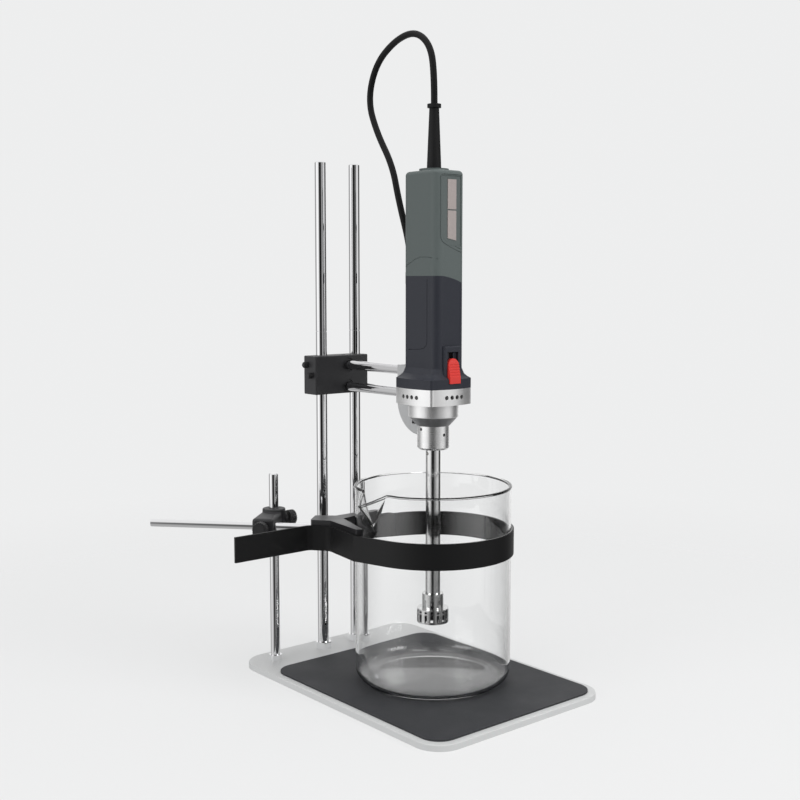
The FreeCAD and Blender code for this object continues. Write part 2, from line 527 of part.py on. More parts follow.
def sleeve_grub_holes(sink):
    """Two radial screws, one on the left and a lower one in front."""
    r = SLEEVE_D / 2
    high, low = (SLEEVE_TOP - drop for drop in SLEEVE_GRUB_DROP)
    left = bar((AXIS_X - r + sink, AXIS_Y, high), (1, 0, 0), SLEEVE_GRUB_D, SLEEVE_WALL - sink)
    front = bar((AXIS_X, AXIS_Y - r + sink, low), (0, 1, 0), SLEEVE_GRUB_D, SLEEVE_WALL - sink)
    return [left, front]


def taper_ring():
    r0, r1 = SLEEVE_D / 2 + 0.2, TAPER_D / 2
    return turned([(TAPER_BORE / 2, SLEEVE_TOP), (r0, SLEEVE_TOP), (r1, TAPER_TOP),
                   (TAPER_BORE / 2, TAPER_TOP)])


save("vent_housing", vent_housing())
save("motor_bracket", motor_bracket())
save("bracket_screws", *[bracket_screw(dx, z) for dx, z in bracket_screw_places()])
save("coupling_sleeve", coupling_sleeve())
save("sleeve_grub_screws", *sleeve_grub_holes(SLEEVE_GRUB_SINK))
save("taper_ring", taper_ring())


# ---- motor housing: dark lower shell and grey upper shell ----
def body_section(z, inset=0.0):
    return section(BODY_HALF_X - inset, BODY_HALF_Y - inset, BODY_CORNER - inset, z)


def body_outer():
    """Full outside of both shells, from the skirt to the crown."""
    skirt = vent_outer(VENT_TOP, SKIRT_TOP - VENT_TOP)
    span = SHOULDER_TOP - SKIRT_TOP
    rings = []
    for t in (0.0, 0.18, 0.45, 1.0):
        ease = (1 - t) ** 2.2
        half_x = BODY_HALF_X + (VENT_HALF - BODY_HALF_X) * ease
        half_y = BODY_HALF_Y + (VENT_HALF - BODY_HALF_Y) * ease
        corner = BODY_CORNER + (VENT_CORNER - BODY_CORNER) * ease
        rings.append(section(half_x, half_y, corner, SKIRT_TOP + span * t, max(VENT_BULGE * ease, 0.05)))
    shoulder = Part.makeLoft(rings, True, True)
    body = prism(body_section(SHOULDER_TOP), BODY_TOP - SHOULDER_TOP)
    crown = [e for e in body.Edges if e.BoundBox.ZMin > BODY_TOP - 0.01]
    body = body.makeFillet(BODY_TOP_EDGE, crown)
    return skirt.fuse(shoulder).fuse(body).removeSplitter()


def split_tool():
    """Everything above the colour split, which is level on the left and dips to the right."""
    over = BODY_HALF_X
    x0, x1 = AXIS_X - 2 * BODY_HALF_X, AXIS_X + BODY_HALF_X
    bend = AXIS_X - BODY_HALF_X * 0.6
    top = BODY_TOP + over
    low = SPLIT_Z - SPLIT_DROP
    middle = V((bend + x1) / 2, 0, SPLIT_Z - SPLIT_DROP * 0.34)
    y0 = AXIS_Y - 2 * BODY_HALF_Y
    points = [V(x0, 0, SPLIT_Z), V(bend, 0, SPLIT_Z)]
    edges = [Part.makeLine(*points), Part.Arc(points[1], middle, V(x1, 0, low)).toShape(),
             Part.makeLine(V(x1, 0, low), V(x1 + over, 0, low)),
             Part.makeLine(V(x1 + over, 0, low), V(x1 + over, 0, top)),
             Part.makeLine(V(x1 + over, 0, top), V(x0, 0, top)), Part.makeLine(V(x0, 0, top), points[0])]
    face = Part.Face(Part.Wire(edges))
    face.translate(V(0, y0, 0))
    return face.extrude(V(0, 4 * BODY_HALF_Y, 0))


def body_hollow():
    """Room inside both shells."""
    room = prism(body_section(VENT_TOP, BODY_WALL), BODY_TOP - BODY_WALL - VENT_TOP)
    return room.fuse(disc(AXIS_X, AXIS_Y, VENT_TOP, BODY_HALF_Y * 2, SKIRT_H / 2))


def switch_window():
    """Opening in the front wall for the switch and its travel."""
    height = BUTTON_Z1 - SHOULDER_TOP + BUTTON_TRAVEL
    return box(AXIS_X, BODY_FRONT, SHOULDER_TOP, 2 * TONGUE_W, 3 * BODY_WALL, height)


def switch_pad():
    """Raised frame on the front face that the button slides on."""
    low, high = SKIRT_TOP - SWITCH_PAD_FOOT, BUTTON_Z1 + BUTTON_TRAVEL + SWITCH_PAD_HEAD
    front, back = BODY_FRONT - SWITCH_PAD_PROUD, BODY_FRONT + BODY_WALL / 2
    pad = box(AXIS_X, (front + back) / 2, low, SWITCH_PAD_W, back - front, high - low)
    edges = [e for e in pad.Edges if e.BoundBox.YMax < front + 0.01 and e.BoundBox.ZMax > low + 0.01]
    return pad.makeFillet(SWITCH_PAD_PROUD * 0.6, edges)


def button_room():
    """Space swept by the button over its travel, cut out of the pad and the skirt."""
    top = BUTTON_Z1 + BUTTON_TRAVEL + SLIDE_GAP
    low = BUTTON_Z0 - SLIDE_GAP
    depth = 2 * BUTTON_PROUD
    return box(AXIS_X, BODY_FRONT - depth / 2, low, BUTTON_W + 2 * SLIDE_GAP, depth, top - low)


def label_recess():
    """Shallow panel in the front of the upper shell with one cut corner."""
    x0, x1 = AXIS_X - PANEL_W / 2, AXIS_X + PANEL_W / 2
    y = BODY_FRONT
    points = [V(x0 + PANEL_CUT, y, PANEL_Z0), V(x1, y, PANEL_Z0), V(x1, y, PANEL_Z1), V(x0, y, PANEL_Z1),
              V(x0, y, PANEL_Z0 + PANEL_CUT * 0.7)]
    face = Part.Face(Part.makePolygon(points + points[:1]))
    panel = face.extrude(V(0, PANEL_SINK + 1, 0))
    panel.translate(V(0, -1, 0))
    return panel


outer = body_outer()
above = split_tool()
hollow = body_hollow()
boss = disc(AXIS_X, AXIS_Y, BODY_TOP - BODY_WALL / 2, TOP_BOSS_D, TOP_BOSS_H + BODY_WALL / 2)
boot_hole = disc(AXIS_X, AXIS_Y, BODY_TOP - 2 * BODY_WALL, BOOT_BASE_D, 2 * BODY_WALL + 2 * TOP_BOSS_H)
lower_shell = outer.cut(above).fuse(switch_pad()).cut(hollow).cut(button_room()).cut(switch_window())
lower_shell = lower_shell.cut(bracket_shank(*bracket_screw_places()[-1]))
upper_shell = outer.common(above).fuse(boss).cut(hollow).cut(boot_hole).cut(label_recess())
save("housing_lower", lower_shell)
save("housing_upper", upper_shell)


def label_plates():
    """Two thin bright plates in the recess, one above the other."""
    y = BODY_FRONT + PANEL_SINK - PLATE_STRIP_T
    middle = (PLATE_STRIP_Z0 + PLATE_STRIP_Z1) / 2
    x0, x1 = AXIS_X + 1 - PLATE_STRIP_W / 2, AXIS_X + 1 + PLATE_STRIP_W / 2
    upper = Part.makeBox(PLATE_STRIP_W, PLATE_STRIP_T, PLATE_STRIP_Z1 - middle - PLATE_STRIP_SPLIT / 2,
                         V(x0, y, middle + PLATE_STRIP_SPLIT / 2))
    points = [V(x0, y, PLATE_STRIP_Z0 + 2), V(x1, y, PLATE_STRIP_Z0),
              V(x1, y, middle - PLATE_STRIP_SPLIT / 2),
              V(x0, y, middle - PLATE_STRIP_SPLIT / 2)]
    lower = Part.Face(Part.makePolygon(points + points[:1])).extrude(V(0, PLATE_STRIP_T, 0))
    return upper, lower


save("label_plates", *label_plates())


# ---- switch button and switch ----
def switch_button():
    """Ribbed thumb slide with a round top and a deeper foot, and its tongue through the window."""
    back = BODY_FRONT - SLIDE_GAP
    depth = BUTTON_PROUD - SLIDE_GAP
    r = BUTTON_W / 2
    body = box(AXIS_X, back - depth / 2, BUTTON_Z0, BUTTON_W, depth, BUTTON_Z1 - r - BUTTON_Z0)
    cap = bar((AXIS_X, back - depth, BUTTON_Z1 - r), (0, 1, 0), BUTTON_W, depth)
    body = body.fuse(cap).removeSplitter()
    crest = BUTTON_Z1 + 1
    toe = BUTTON_Z0 + BUTTON_TOE
    wedge_points = [V(AXIS_X - r, back - depth, crest), V(AXIS_X - r, back - depth * 0.45, crest),
                    V(AXIS_X - r, back - depth, toe)]
    wedge = Part.Face(Part.makePolygon(wedge_points + wedge_points[:1])).extrude(V(BUTTON_W, 0, 0))
    body = body.cut(wedge)
    for i in range(BUTTON_RIBS):
        z = toe + (i + 0.8) * BUTTON_RIB_PITCH
        slope = (z - toe) / (crest - toe) * depth * 0.55
        start = (AXIS_X - r, back - depth + slope - BUTTON_RIB_D / 5, z)
        groove = bar(start, (1, 0, 0), BUTTON_RIB_D, BUTTON_W)
        body = body.cut(groove)
    low, high = SHOULDER_TOP + SLIDE_GAP, BUTTON_Z1 - BUTTON_RIB_D
    reach = TONGUE_REACH + BODY_WALL + 1
    tongue = box(AXIS_X, BODY_FRONT - 1 + reach / 2, low, TONGUE_W, reach, high - low)
    return body.fuse(tongue)


def switch_module():
    """Switch set on the inside of the front wall, slotted for the button's tongue."""
    w, d, h = SWITCH_BODY
    wall = BODY_FRONT + BODY_WALL
    slot_h = BUTTON_Z1 + BUTTON_TRAVEL - SHOULDER_TOP
    body = box(AXIS_X, wall + d / 2, SHOULDER_TOP, w, d, h)
    slot = box(AXIS_X, wall, SHOULDER_TOP, TONGUE_W + 2 * SLIDE_GAP, 2 * (TONGUE_REACH + SLIDE_GAP), slot_h)
    return body.cut(slot)


save("switch_button", switch_button())
save("switch_module", switch_module())


# ---- motor: stator, armature, brushes, bearings and fan ----
def field_coil(sign, grow=0.0):
    """Racetrack coil round one pole, above and below the core."""
    z0, z1 = CORE_Z - COIL_BUILD, CORE_Z + CORE_H + COIL_BUILD
    w, t = COIL_W + 2 * grow, COIL_T + 2 * grow
    y = AXIS_Y + sign * (COIL_POLE_Y + COIL_T / 2)
    outer_box = box(AXIS_X, y, z0 - grow, w, t, z1 - z0 + 2 * grow)
    inner_box = box(AXIS_X, y, CORE_Z, COIL_W - 2 * COIL_BUILD - 2 * grow, t, CORE_H)
    return outer_box.cut(inner_box)


def stator_core():
    core = prism(body_section(CORE_Z, BODY_WALL), CORE_H)
    core = core.cut(disc(AXIS_X, AXIS_Y, CORE_Z, CORE_BORE, CORE_H))
    for sign in (-1, 1):
        core = core.cut(field_coil(sign, 0.2))
    return core


def armature():
    """Laminated core with its winding heads."""
    d = CORE_BORE - 2 * ARMATURE_GAP
    low, tall = CORE_Z - ARMATURE_HEAD, CORE_H + 2 * ARMATURE_HEAD
    parts = disc(AXIS_X, AXIS_Y, CORE_Z, d, CORE_H)
    parts = parts.fuse(disc(AXIS_X, AXIS_Y, low, d - ARMATURE_HEAD, tall))
    for i in range(ARMATURE_SLOTS):
        a = 2 * math.pi * i / ARMATURE_SLOTS
        x, y = AXIS_X + d / 2 * math.cos(a), AXIS_Y + d / 2 * math.sin(a)
        parts = parts.cut(disc(x, y, CORE_Z, ARMATURE_SLOT_D, CORE_H))
    return parts.cut(disc(AXIS_X, AXIS_Y, low, SHAFT_D, tall))


def bearing(z, size, shaft_gap=0.0):
    bore, outside, width = size
    return ring(AXIS_X, AXIS_Y, z, outside, bore + 2 * shaft_gap, width)


def motor_shaft():
    """Stepped shaft from the top bearing to the coupling."""
    top = BRIDGE_Z + BRIDGE_T
    journal = TOP_BEARING[0] / 2
    r = SHAFT_D / 2
    low = COUPLING_Z + COUPLING_H / 2
    return turned([(0, low), (r, low), (r, BRIDGE_Z - 1), (journal, BRIDGE_Z - 1), (journal, top), (0, top)])


def cooling_fan():
    """Radial fan with a back disc and straight blades."""
    fan = disc(AXIS_X, AXIS_Y, FAN_Z, FAN_HUB_D, FAN_H)
    fan = fan.fuse(disc(AXIS_X, AXIS_Y, FAN_Z + FAN_H - FAN_DISC, FAN_D, FAN_DISC))
    root = FAN_HUB_D / 2 - 1
    corner = V(AXIS_X + root, AXIS_Y - FAN_BLADE_T / 2, FAN_Z)
    blade = Part.makeBox(FAN_D / 2 - root - 1, FAN_BLADE_T, FAN_H, corner)
    for i in range(FAN_BLADES):
        copy = blade.copy()
        copy.rotate(V(AXIS_X, AXIS_Y, 0), V(0, 0, 1), 360 / FAN_BLADES * i)
        fan = fan.fuse(copy)
    return fan.cut(disc(AXIS_X, AXIS_Y, FAN_Z, SHAFT_D, FAN_H))


def bearing_bridge():
    bridge = prism(body_section(BRIDGE_Z, BODY_WALL), BRIDGE_T)
    bridge = bridge.cut(disc(AXIS_X, AXIS_Y, BRIDGE_Z, TOP_BEARING[1], TOP_BEARING[2]))
    return bridge.cut(disc(AXIS_X, AXIS_Y, BRIDGE_Z, TOP_BEARING[0] * 1.5, BRIDGE_T))


def brushes():
    """Two carbon blocks that run on the commutator."""
    tangential, high, long = BRUSH
    start = COMMUTATOR_D / 2 + SLIDE_GAP
    z = COMMUTATOR_Z + (COMMUTATOR_H - high) / 2
    return [box(AXIS_X, AXIS_Y + sign * (start + long / 2), z, tangential, long, high) for sign in (-1, 1)]


def brush_holders():
    """Brass boxes round the brushes, set on the bearing bridge's legs."""
    tangential, high, long = BRUSH
    start = COMMUTATOR_D / 2 + BRUSH_BOX_WALL
    end = BODY_HALF_Y - BODY_WALL
    z = COMMUTATOR_Z + (COMMUTATOR_H - high) / 2
    holders = []
    for sign in (-1, 1):
        y = AXIS_Y + sign * (start + end) / 2
        low = z - BRUSH_BOX_WALL
        shell = box(AXIS_X, y, low, tangential + 2 * BRUSH_BOX_WALL, end - start, BRIDGE_Z - low)
        holders.append(shell.cut(box(AXIS_X, y, z, tangential, end - start, high)))
    return holders


save("stator_core", stator_core())
save("field_coils", field_coil(-1), field_coil(1))
save("armature", armature())
save("motor_shaft", motor_shaft())
save("commutator", ring(AXIS_X, AXIS_Y, COMMUTATOR_Z, COMMUTATOR_D, SHAFT_D, COMMUTATOR_H))
save("carbon_brushes", *brushes())
save("brush_holders", *brush_holders())
save("bearing_bridge", bearing_bridge())
save("top_bearing", bearing(BRIDGE_Z, TOP_BEARING, RUNNING_GAP))
save("nose_bearing", bearing(NOSE_BEARING_Z, NOSE_BEARING, RUNNING_GAP))
save("nose_seal", ring(AXIS_X, AXIS_Y, TAPER_TOP, NOSE_BEARING[1], SHAFT_D + 2 * RUNNING_GAP, NOSE_SEAL_T))
save("cooling_fan", cooling_fan())


# ---- drive shaft and dispersing head ----
def shaft_coupling():
    """Clamping hub that joins the motor shaft to the thinner drive shaft."""
    middle = COUPLING_Z + COUPLING_H / 2
    hub = disc(AXIS_X, AXIS_Y, COUPLING_Z, COUPLING_D, COUPLING_H)
    hub = hub.cut(disc(AXIS_X, AXIS_Y, middle, SHAFT_D, COUPLING_H / 2))
    hub = hub.cut(disc(AXIS_X, AXIS_Y, COUPLING_Z, DRIVE_D, COUPLING_H / 2))
    return hub


def drive_shaft():
    return disc(AXIS_X, AXIS_Y, DRIVE_Z, DRIVE_D, COUPLING_Z + COUPLING_H / 2 - DRIVE_Z)


def stator_tube():
    tube = ring(AXIS_X, AXIS_Y, TUBE_Z, TUBE_D, TUBE_BORE, TUBE_TOP - TUBE_Z)
    return tube.cut(bar((AXIS_X - TUBE_D, AXIS_Y, TUBE_TOP - TUBE_VENT_DROP), (1, 0, 0), TUBE_VENT_D, 2 * TUBE_D))


def stator_head():
    """Slotted shearing cup hung from the tube by a cage of short legs."""
    top = HEAD_TOP
    head = ring(AXIS_X, AXIS_Y, HEAD_Z, HEAD_D, HEAD_D - 2 * HEAD_WALL, HEAD_H)
    head = head.fuse(ring(AXIS_X, AXIS_Y, top - HEAD_ROOF, HEAD_D, CAGE_D - 2 * CAGE_WALL, HEAD_ROOF))
    slot = box(AXIS_X + HEAD_D / 2, AXIS_Y, HEAD_Z + HEAD_SLOT_Z, 4 * HEAD_WALL, HEAD_SLOT_W, HEAD_SLOT_H)
    port = box(AXIS_X + HEAD_D / 2, AXIS_Y, HEAD_Z + HEAD_PORT_Z, 4 * HEAD_WALL, HEAD_SLOT_W, HEAD_PORT_H)
    for i in range(HEAD_SLOTS):
        for tool in (slot, port):
            copy = tool.copy()
            copy.rotate(V(AXIS_X, AXIS_Y, 0), V(0, 0, 1), 360 / HEAD_SLOTS * i)
            head = head.cut(copy)
    cage = ring(AXIS_X, AXIS_Y, top, CAGE_D, CAGE_D - 2 * CAGE_WALL, CAGE_H)
    legs = []
    for i in range(CAGE_LEGS):
        leg = box(AXIS_X, AXIS_Y + CAGE_D / 2, top, CAGE_LEG_W, CAGE_D / 2, CAGE_H)
        leg.rotate(V(AXIS_X, AXIS_Y, 0), V(0, 0, 1), 360 / CAGE_LEGS * (i + 0.5))
        legs.append(leg)
    hub = ring(AXIS_X, AXIS_Y, top + CAGE_H, CAGE_D, TUBE_D, CAGE_HUB_H)
    return head.fuse(cage.common(Part.makeCompound(legs))).fuse(hub)


def rotor_head():
    """Bladed rotor on the end of the drive shaft."""
    tip = HEAD_D / 2 - HEAD_WALL - ROTOR_GAP
    z = ROTOR_Z
    rotor = disc(AXIS_X, AXIS_Y, z, ROTOR_HUB_D, ROTOR_H)
    root = ROTOR_HUB_D / 4
    blade = Part.makeBox(tip, ROTOR_BLADE_T, ROTOR_H, V(AXIS_X + root, AXIS_Y - ROTOR_BLADE_T / 2, z))
    for i in range(ROTOR_BLADES):
        copy = blade.copy()
        copy.rotate(V(AXIS_X, AXIS_Y, 0), V(0, 0, 1), 360 / ROTOR_BLADES * i + 8)
        rotor = rotor.fuse(copy)
    rotor = rotor.common(disc(AXIS_X, AXIS_Y, z, 2 * tip, ROTOR_H))
    return rotor.cut(disc(AXIS_X, AXIS_Y, DRIVE_Z, DRIVE_D, ROTOR_H))


save("shaft_coupling", shaft_coupling())
save("drive_shaft", drive_shaft())
save("stator_tube", stator_tube())
save("shaft_bushes", *[ring(AXIS_X, AXIS_Y, z, TUBE_BORE, DRIVE_D + 2 * RUNNING_GAP, BUSH_L) for z in BUSH_Z])
save("stator_head", stator_head())
save("rotor_head", rotor_head())


# ---- beaker ----
def beaker():
    """Straight glass with a rounded foot, a beaded rim and a drooping spout on the left."""
    r, w, z0 = BEAKER_R, BEAKER_WALL, MAT_TOP
    f = BEAKER_FOOT_ROUND
    x, y = AXIS_X, AXIS_Y

    def arc(radius, centre_r, centre_z):
        a = math.radians(-45)
        return Part.Arc(V(x + centre_r, y, centre_z - radius),
                        V(x + centre_r + radius * math.cos(a), y, centre_z + radius * math.sin(a)),
                        V(x + centre_r + radius, y, centre_z)).toShape()

    foot_out = arc(f, r - f, z0 + f)
    inner = f - w
    foot_in = arc(inner, r - f, z0 + BEAKER_FLOOR + inner)
    top = BEAKER_TOP
    edges = [Part.makeLine(V(x, y, z0), V(x + r - f, y, z0)), foot_out,
             Part.makeLine(V(x + r, y, z0 + f), V(x + r, y, top)),
             Part.makeLine(V(x + r, y, top), V(x + r - w, y, top)),
             Part.makeLine(V(x + r - w, y, top), V(x + r - w, y, z0 + BEAKER_FLOOR + inner)), foot_in,
             Part.makeLine(V(x + r - f, y, z0 + BEAKER_FLOOR), V(x, y, z0 + BEAKER_FLOOR)),
             Part.makeLine(V(x, y, z0 + BEAKER_FLOOR), V(x, y, z0))]
    glass = Part.Face(Part.Wire(Part.__sortEdges__(edges))).revolve(V(x, y, 0), V(0, 0, 1), 360)
    glass = glass.fuse(Part.makeTorus(r - w / 2 + 0.4, BEAKER_BEAD, V(x, y, top - BEAKER_BEAD)))

    def spout(shrink):
        """Wedge from the wall to the lip, with every face moved in by shrink."""
        half, deep = SPOUT_W / 2 - 1.4 * shrink, SPOUT_DEPTH - 1.6 * shrink
        wall_x, lip_x = x - r + 3 * w, x - r - SPOUT_REACH
        lip_top = top - SPOUT_DROP
        root = [V(wall_x, y - half, top + shrink), V(wall_x, y + half, top + shrink), V(wall_x, y, top - deep)]
        lip_half, lip_deep = SPOUT_LIP_HALF - shrink, SPOUT_LIP_DEEP - 1.2 * shrink
        lip = [V(lip_x, y - lip_half, lip_top + shrink), V(lip_x, y + lip_half, lip_top + shrink),
               V(lip_x, y, lip_top - lip_deep)]
        if shrink:
            for corners in (root, lip):
                for corner in corners[:2]:
                    corner.z += 5 * w
            root = [V(p.x + 6 * w, p.y, p.z) for p in root]
            lip = [V(p.x - w / 2, p.y, p.z) for p in lip]
        return Part.makeLoft([Part.makePolygon(root + root[:1]), Part.makePolygon(lip + lip[:1])], True, True)

    inside = disc(x, y, z0 + f, 2 * (r - w), top)
    wedge = spout(0).cut(inside)
    return glass.fuse(wedge).cut(spout(w))


save("beaker", beaker())


# ---- vessel clamp: laid out with +X along the clamp rod, then turned into place ----
def placed(shape):
    shape.rotate(V(0, 0, 0), V(0, 0, 1), CLAMP_ANGLE)
    shape.translate(V(AXIS_X, AXIS_Y, 0))
    return shape


def to_clamp_line(x, y):
    """A point of the stand in the clamp's own layout."""
    a = math.radians(-CLAMP_ANGLE)
    dx, dy = x - AXIS_X, y - AXIS_Y
    return dx * math.cos(a) - dy * math.sin(a), dx * math.sin(a) + dy * math.cos(a)


def v_jaw():
    """Block with two tapered arms that cradle the glass."""
    slope = 1 / math.tan(math.radians(JAW_V_ANGLE))
    inner_y = JAW_TIP_Y - 1.25 * JAW_TIP_R
    half = [(JAW_END, JAW_HALF), (JAW_KINK, JAW_HALF + JAW_FLARE), (JAW_TIP_X, JAW_TIP_Y),
            (JAW_APEX - slope * inner_y, inner_y), (JAW_APEX, 0)]
    points = [V(s, t, JAW_Z) for s, t in half] + [V(s, -t, JAW_Z) for s, t in reversed(half[:-1])]
    jaw = Part.Face(Part.makePolygon(points + points[:1])).extrude(V(0, 0, JAW_H))
    jaw = jaw.makeFillet(JAW_TIP_R, [e for e in upright_edges(jaw)
                                     if abs(e.CenterOfMass.y) > JAW_TIP_Y - 1 or e.CenterOfMass.x > JAW_END - 1])
    jaw = jaw.cut(bar((JAW_END, 0, CLAMP_Z), (-1, 0, 0), CLAMP_ROD_D, CLAMP_ROD_SEAT))
    start = (STRAP_SCREW_S, -JAW_HALF - 2 * JAW_FLARE, STRAP_SCREW_Z)
    return jaw.cut(bar(start, (0, 1, 0), STRAP_SCREW_D, 2 * JAW_FLARE + STRAP_SCREW_BITE))


def ribbon(points, radii, thickness, z, h):
    """Band of even thickness along a path with rounded corners."""
    def unit(a, b):
        d = math.hypot(b[0] - a[0], b[1] - a[1])
        return (b[0] - a[0]) / d, (b[1] - a[1]) / d

    def side(offset):
        corners, bends = [], []
        for i, (px, py) in enumerate(points):
            before = unit(points[i - 1], points[i]) if i else unit(points[0], points[1])
            after = unit(points[i], points[i + 1]) if i < len(points) - 1 else before
            turn = before[0] * after[1] - before[1] * after[0]
            mx, my = -(before[1] + after[1]), before[0] + after[0]
            scale = offset / ((mx * mx + my * my) / 2)
            corners.append((px + mx * scale, py + my * scale))
            bends.append(radii[i] - math.copysign(offset, turn) if radii[i] and offset >= 0
                         else radii[i] + math.copysign(-offset, turn) if radii[i] else 0)
        edges, last = [], V(corners[0][0], corners[0][1], z)
        for i in range(1, len(corners) - 1):
            before, after = unit(corners[i - 1], corners[i]), unit(corners[i], corners[i + 1])
            cosine = before[0] * after[0] + before[1] * after[1]
            half_turn = math.acos(max(-1, min(1, cosine))) / 2
            reach = bends[i] * math.tan(half_turn)
            cx, cy = corners[i]
            start = V(cx - before[0] * reach, cy - before[1] * reach, z)
            end = V(cx + after[0] * reach, cy + after[1] * reach, z)
            bx, by = after[0] - before[0], after[1] - before[1]
            size = math.hypot(bx, by)
            rise = bends[i] * (1 / math.cos(half_turn) - 1)
            middle = V(cx + bx / size * rise, cy + by / size * rise, z)
            if (start - last).Length > 1e-4:
                edges.append(Part.makeLine(last, start))
            edges.append(Part.Arc(start, middle, end).toShape())
            last = end
        final = V(corners[-1][0], corners[-1][1], z)
        edges.append(Part.makeLine(last, final))
        return edges, V(corners[0][0], corners[0][1], z), final

    left, left_start, left_end = side(thickness / 2)
    right, right_start, right_end = side(-thickness / 2)
    loop = left + right + [Part.makeLine(left_end, right_end), Part.makeLine(right_start, left_start)]
    return Part.Face(Part.Wire(Part.__sortEdges__(loop))).extrude(V(0, 0, h))


def strap_path():
    """Corners and bend radii from the rear screw round the glass to the free tail."""
    flank = JAW_HALF + STRAP_OFF
    kink_t = JAW_HALF + JAW_FLARE + STRAP_OFF
    rear_t = flank + JAW_FLARE * STRAP_LAP / (JAW_END - JAW_KINK)
    tip = (JAW_TIP_X + JAW_FLARE, JAW_TIP_Y + 2 * STRAP_OFF)
    reach = math.hypot(*tip)
    leave = math.atan2(tip[1], tip[0]) + math.acos(STRAP_R / reach)
    steps = 4
    step = (2 * math.pi - 2 * leave) / steps
    vertex = STRAP_R / math.cos(step / 2)
    ring_points = [(vertex * math.cos(-leave - step * (i + 0.5)), vertex * math.sin(-leave - step * (i + 0.5)))
                   for i in range(steps)]
    a = math.radians(180 - CLAMP_ANGLE)
    corner = (JAW_END + 1.5, flank)
    tail = (corner[0] + STRAP_TAIL * math.cos(a), corner[1] + STRAP_TAIL * math.sin(a))
    points = [(JAW_END - STRAP_LAP, -rear_t), (JAW_KINK + SLIDE_GAP, -kink_t), (tip[0], -tip[1])] + ring_points
    points += [tip, (JAW_KINK + SLIDE_GAP, kink_t), corner, tail]
    radii = [0, STRAP_KINK_R, STRAP_TIP_R] + [STRAP_R] * steps + [STRAP_TIP_R, STRAP_KINK_R, STRAP_TURN_R, 0]
    return points, radii


def strap():
    points, radii = strap_path()
    band = ribbon(points, radii, STRAP_T, STRAP_Z, STRAP_W)
    start = (STRAP_SCREW_S, -JAW_HALF - 3 * STRAP_T, STRAP_SCREW_Z)
    return band.cut(bar(start, (0, 1, 0), STRAP_SCREW_D, 4 * STRAP_T))


def strap_screw():
    """Pan-head screw that pins the strap's fixed end to the jaw's rear side."""
    seat = -JAW_HALF - JAW_FLARE - STRAP_OFF - STRAP_T / 2
    start = (STRAP_SCREW_S, seat, STRAP_SCREW_Z)
    shank = bar(start, (0, 1, 0), STRAP_SCREW_D, STRAP_SCREW_BITE - JAW_HALF - seat)
    head = bar(start, (0, -1, 0), STRAP_SCREW_HEAD, STRAP_SCREW_HEAD_L)
    return shank.fuse(head)


def clamp_rod():
    return bar((CLAMP_ROD_START, 0, CLAMP_Z), (1, 0, 0), CLAMP_ROD_D, CLAMP_ROD_L)


POST_S, POST_T = to_clamp_line(SHORT_POST_X, SHORT_POST_Y)
BOSS_S = POST_S + 1.0
POST_CLAMP_DIR = 360 - CLAMP_ANGLE      # the stand's +X in the clamp's own layout, degrees


def boss_head():
    """Casting that grips the upright post on one side and the rod on the other."""
    post_r = SHORT_POST_D / 2 + RUNNING_GAP
    z = CLAMP_Z - BOSS_H / 2 - BOSS_SHIFT
    post_end = disc(POST_S, POST_T, z, 2 * (post_r + BOSS_WALL), BOSS_H)
    low, high = POST_T, CLAMP_ROD_D / 2 + BOSS_WALL
    arm = box(BOSS_S, (low + high) / 2, z + BOSS_ARM_SET, BOSS_W, high - low, BOSS_H - 2 * BOSS_ARM_SET)
    arm = arm.makeFillet(BOSS_ROUND, [e for e in arm.Edges if e.BoundBox.YMin > high - 0.01
                               or abs(e.tangentAt(e.FirstParameter).y) > 0.99])
    body = post_end.fuse(arm)
    a = math.radians(POST_CLAMP_DIR)
    toward = (math.cos(a), math.sin(a), 0)
    lug = bar((POST_S, POST_T, CLAMP_Z), toward, LUG_D, post_r + BOSS_WALL + LUG_PROUD)
    body = body.fuse(lug)
    body = body.cut(disc(POST_S, POST_T, z, 2 * post_r, BOSS_H))
    body = body.cut(bar((BOSS_S - BOSS_W, 0, CLAMP_Z), (1, 0, 0), CLAMP_ROD_D, 2 * BOSS_W))
    hole = KNOB_STEM_D + 2 * RUNNING_GAP
    body = body.cut(bar((POST_S, POST_T, CLAMP_Z), toward, hole, 2 * BOSS_W))
    return body.cut(bar((BOSS_S, 0, CLAMP_Z), (0, 1, 0), hole, 2 * BOSS_W))


def knob(origin, direction, seat, contact):
    """Lobed hand knob on a screw; seat is where the head stands, contact where the tip stops."""
    ux, uy = direction
    ox, oy = origin

    def along(distance):
        return ox + ux * distance, oy + uy * distance, CLAMP_Z

    stem = bar(along(contact), (ux, uy, 0), KNOB_STEM_D, seat + KNOB_STEM - contact)
    head = bar(along(seat + KNOB_STEM), (ux, uy, 0), KNOB_D, KNOB_H)
    for i in range(KNOB_LOBES):
        a = 2 * math.pi * i / KNOB_LOBES
        cx, cy, cz = along(seat + KNOB_STEM)
        side, up = KNOB_D / 2 * 1.08 * math.cos(a), KNOB_D / 2 * 1.08 * math.sin(a)
        head = head.cut(bar((cx - uy * side, cy + ux * side, cz + up), (ux, uy, 0), KNOB_LOBE_D, KNOB_H))
    return stem.fuse(head)


def boss_post_knob():
    a = math.radians(POST_CLAMP_DIR)
    wall = SHORT_POST_D / 2 + RUNNING_GAP + BOSS_WALL + LUG_PROUD
    return knob((POST_S, POST_T), (math.cos(a), math.sin(a)), wall, SHORT_POST_D / 2 + RUNNING_GAP)


def boss_rod_knob():
    return knob((BOSS_S, 0), (0, 1), CLAMP_ROD_D / 2 + BOSS_WALL, CLAMP_ROD_D / 2 + RUNNING_GAP)


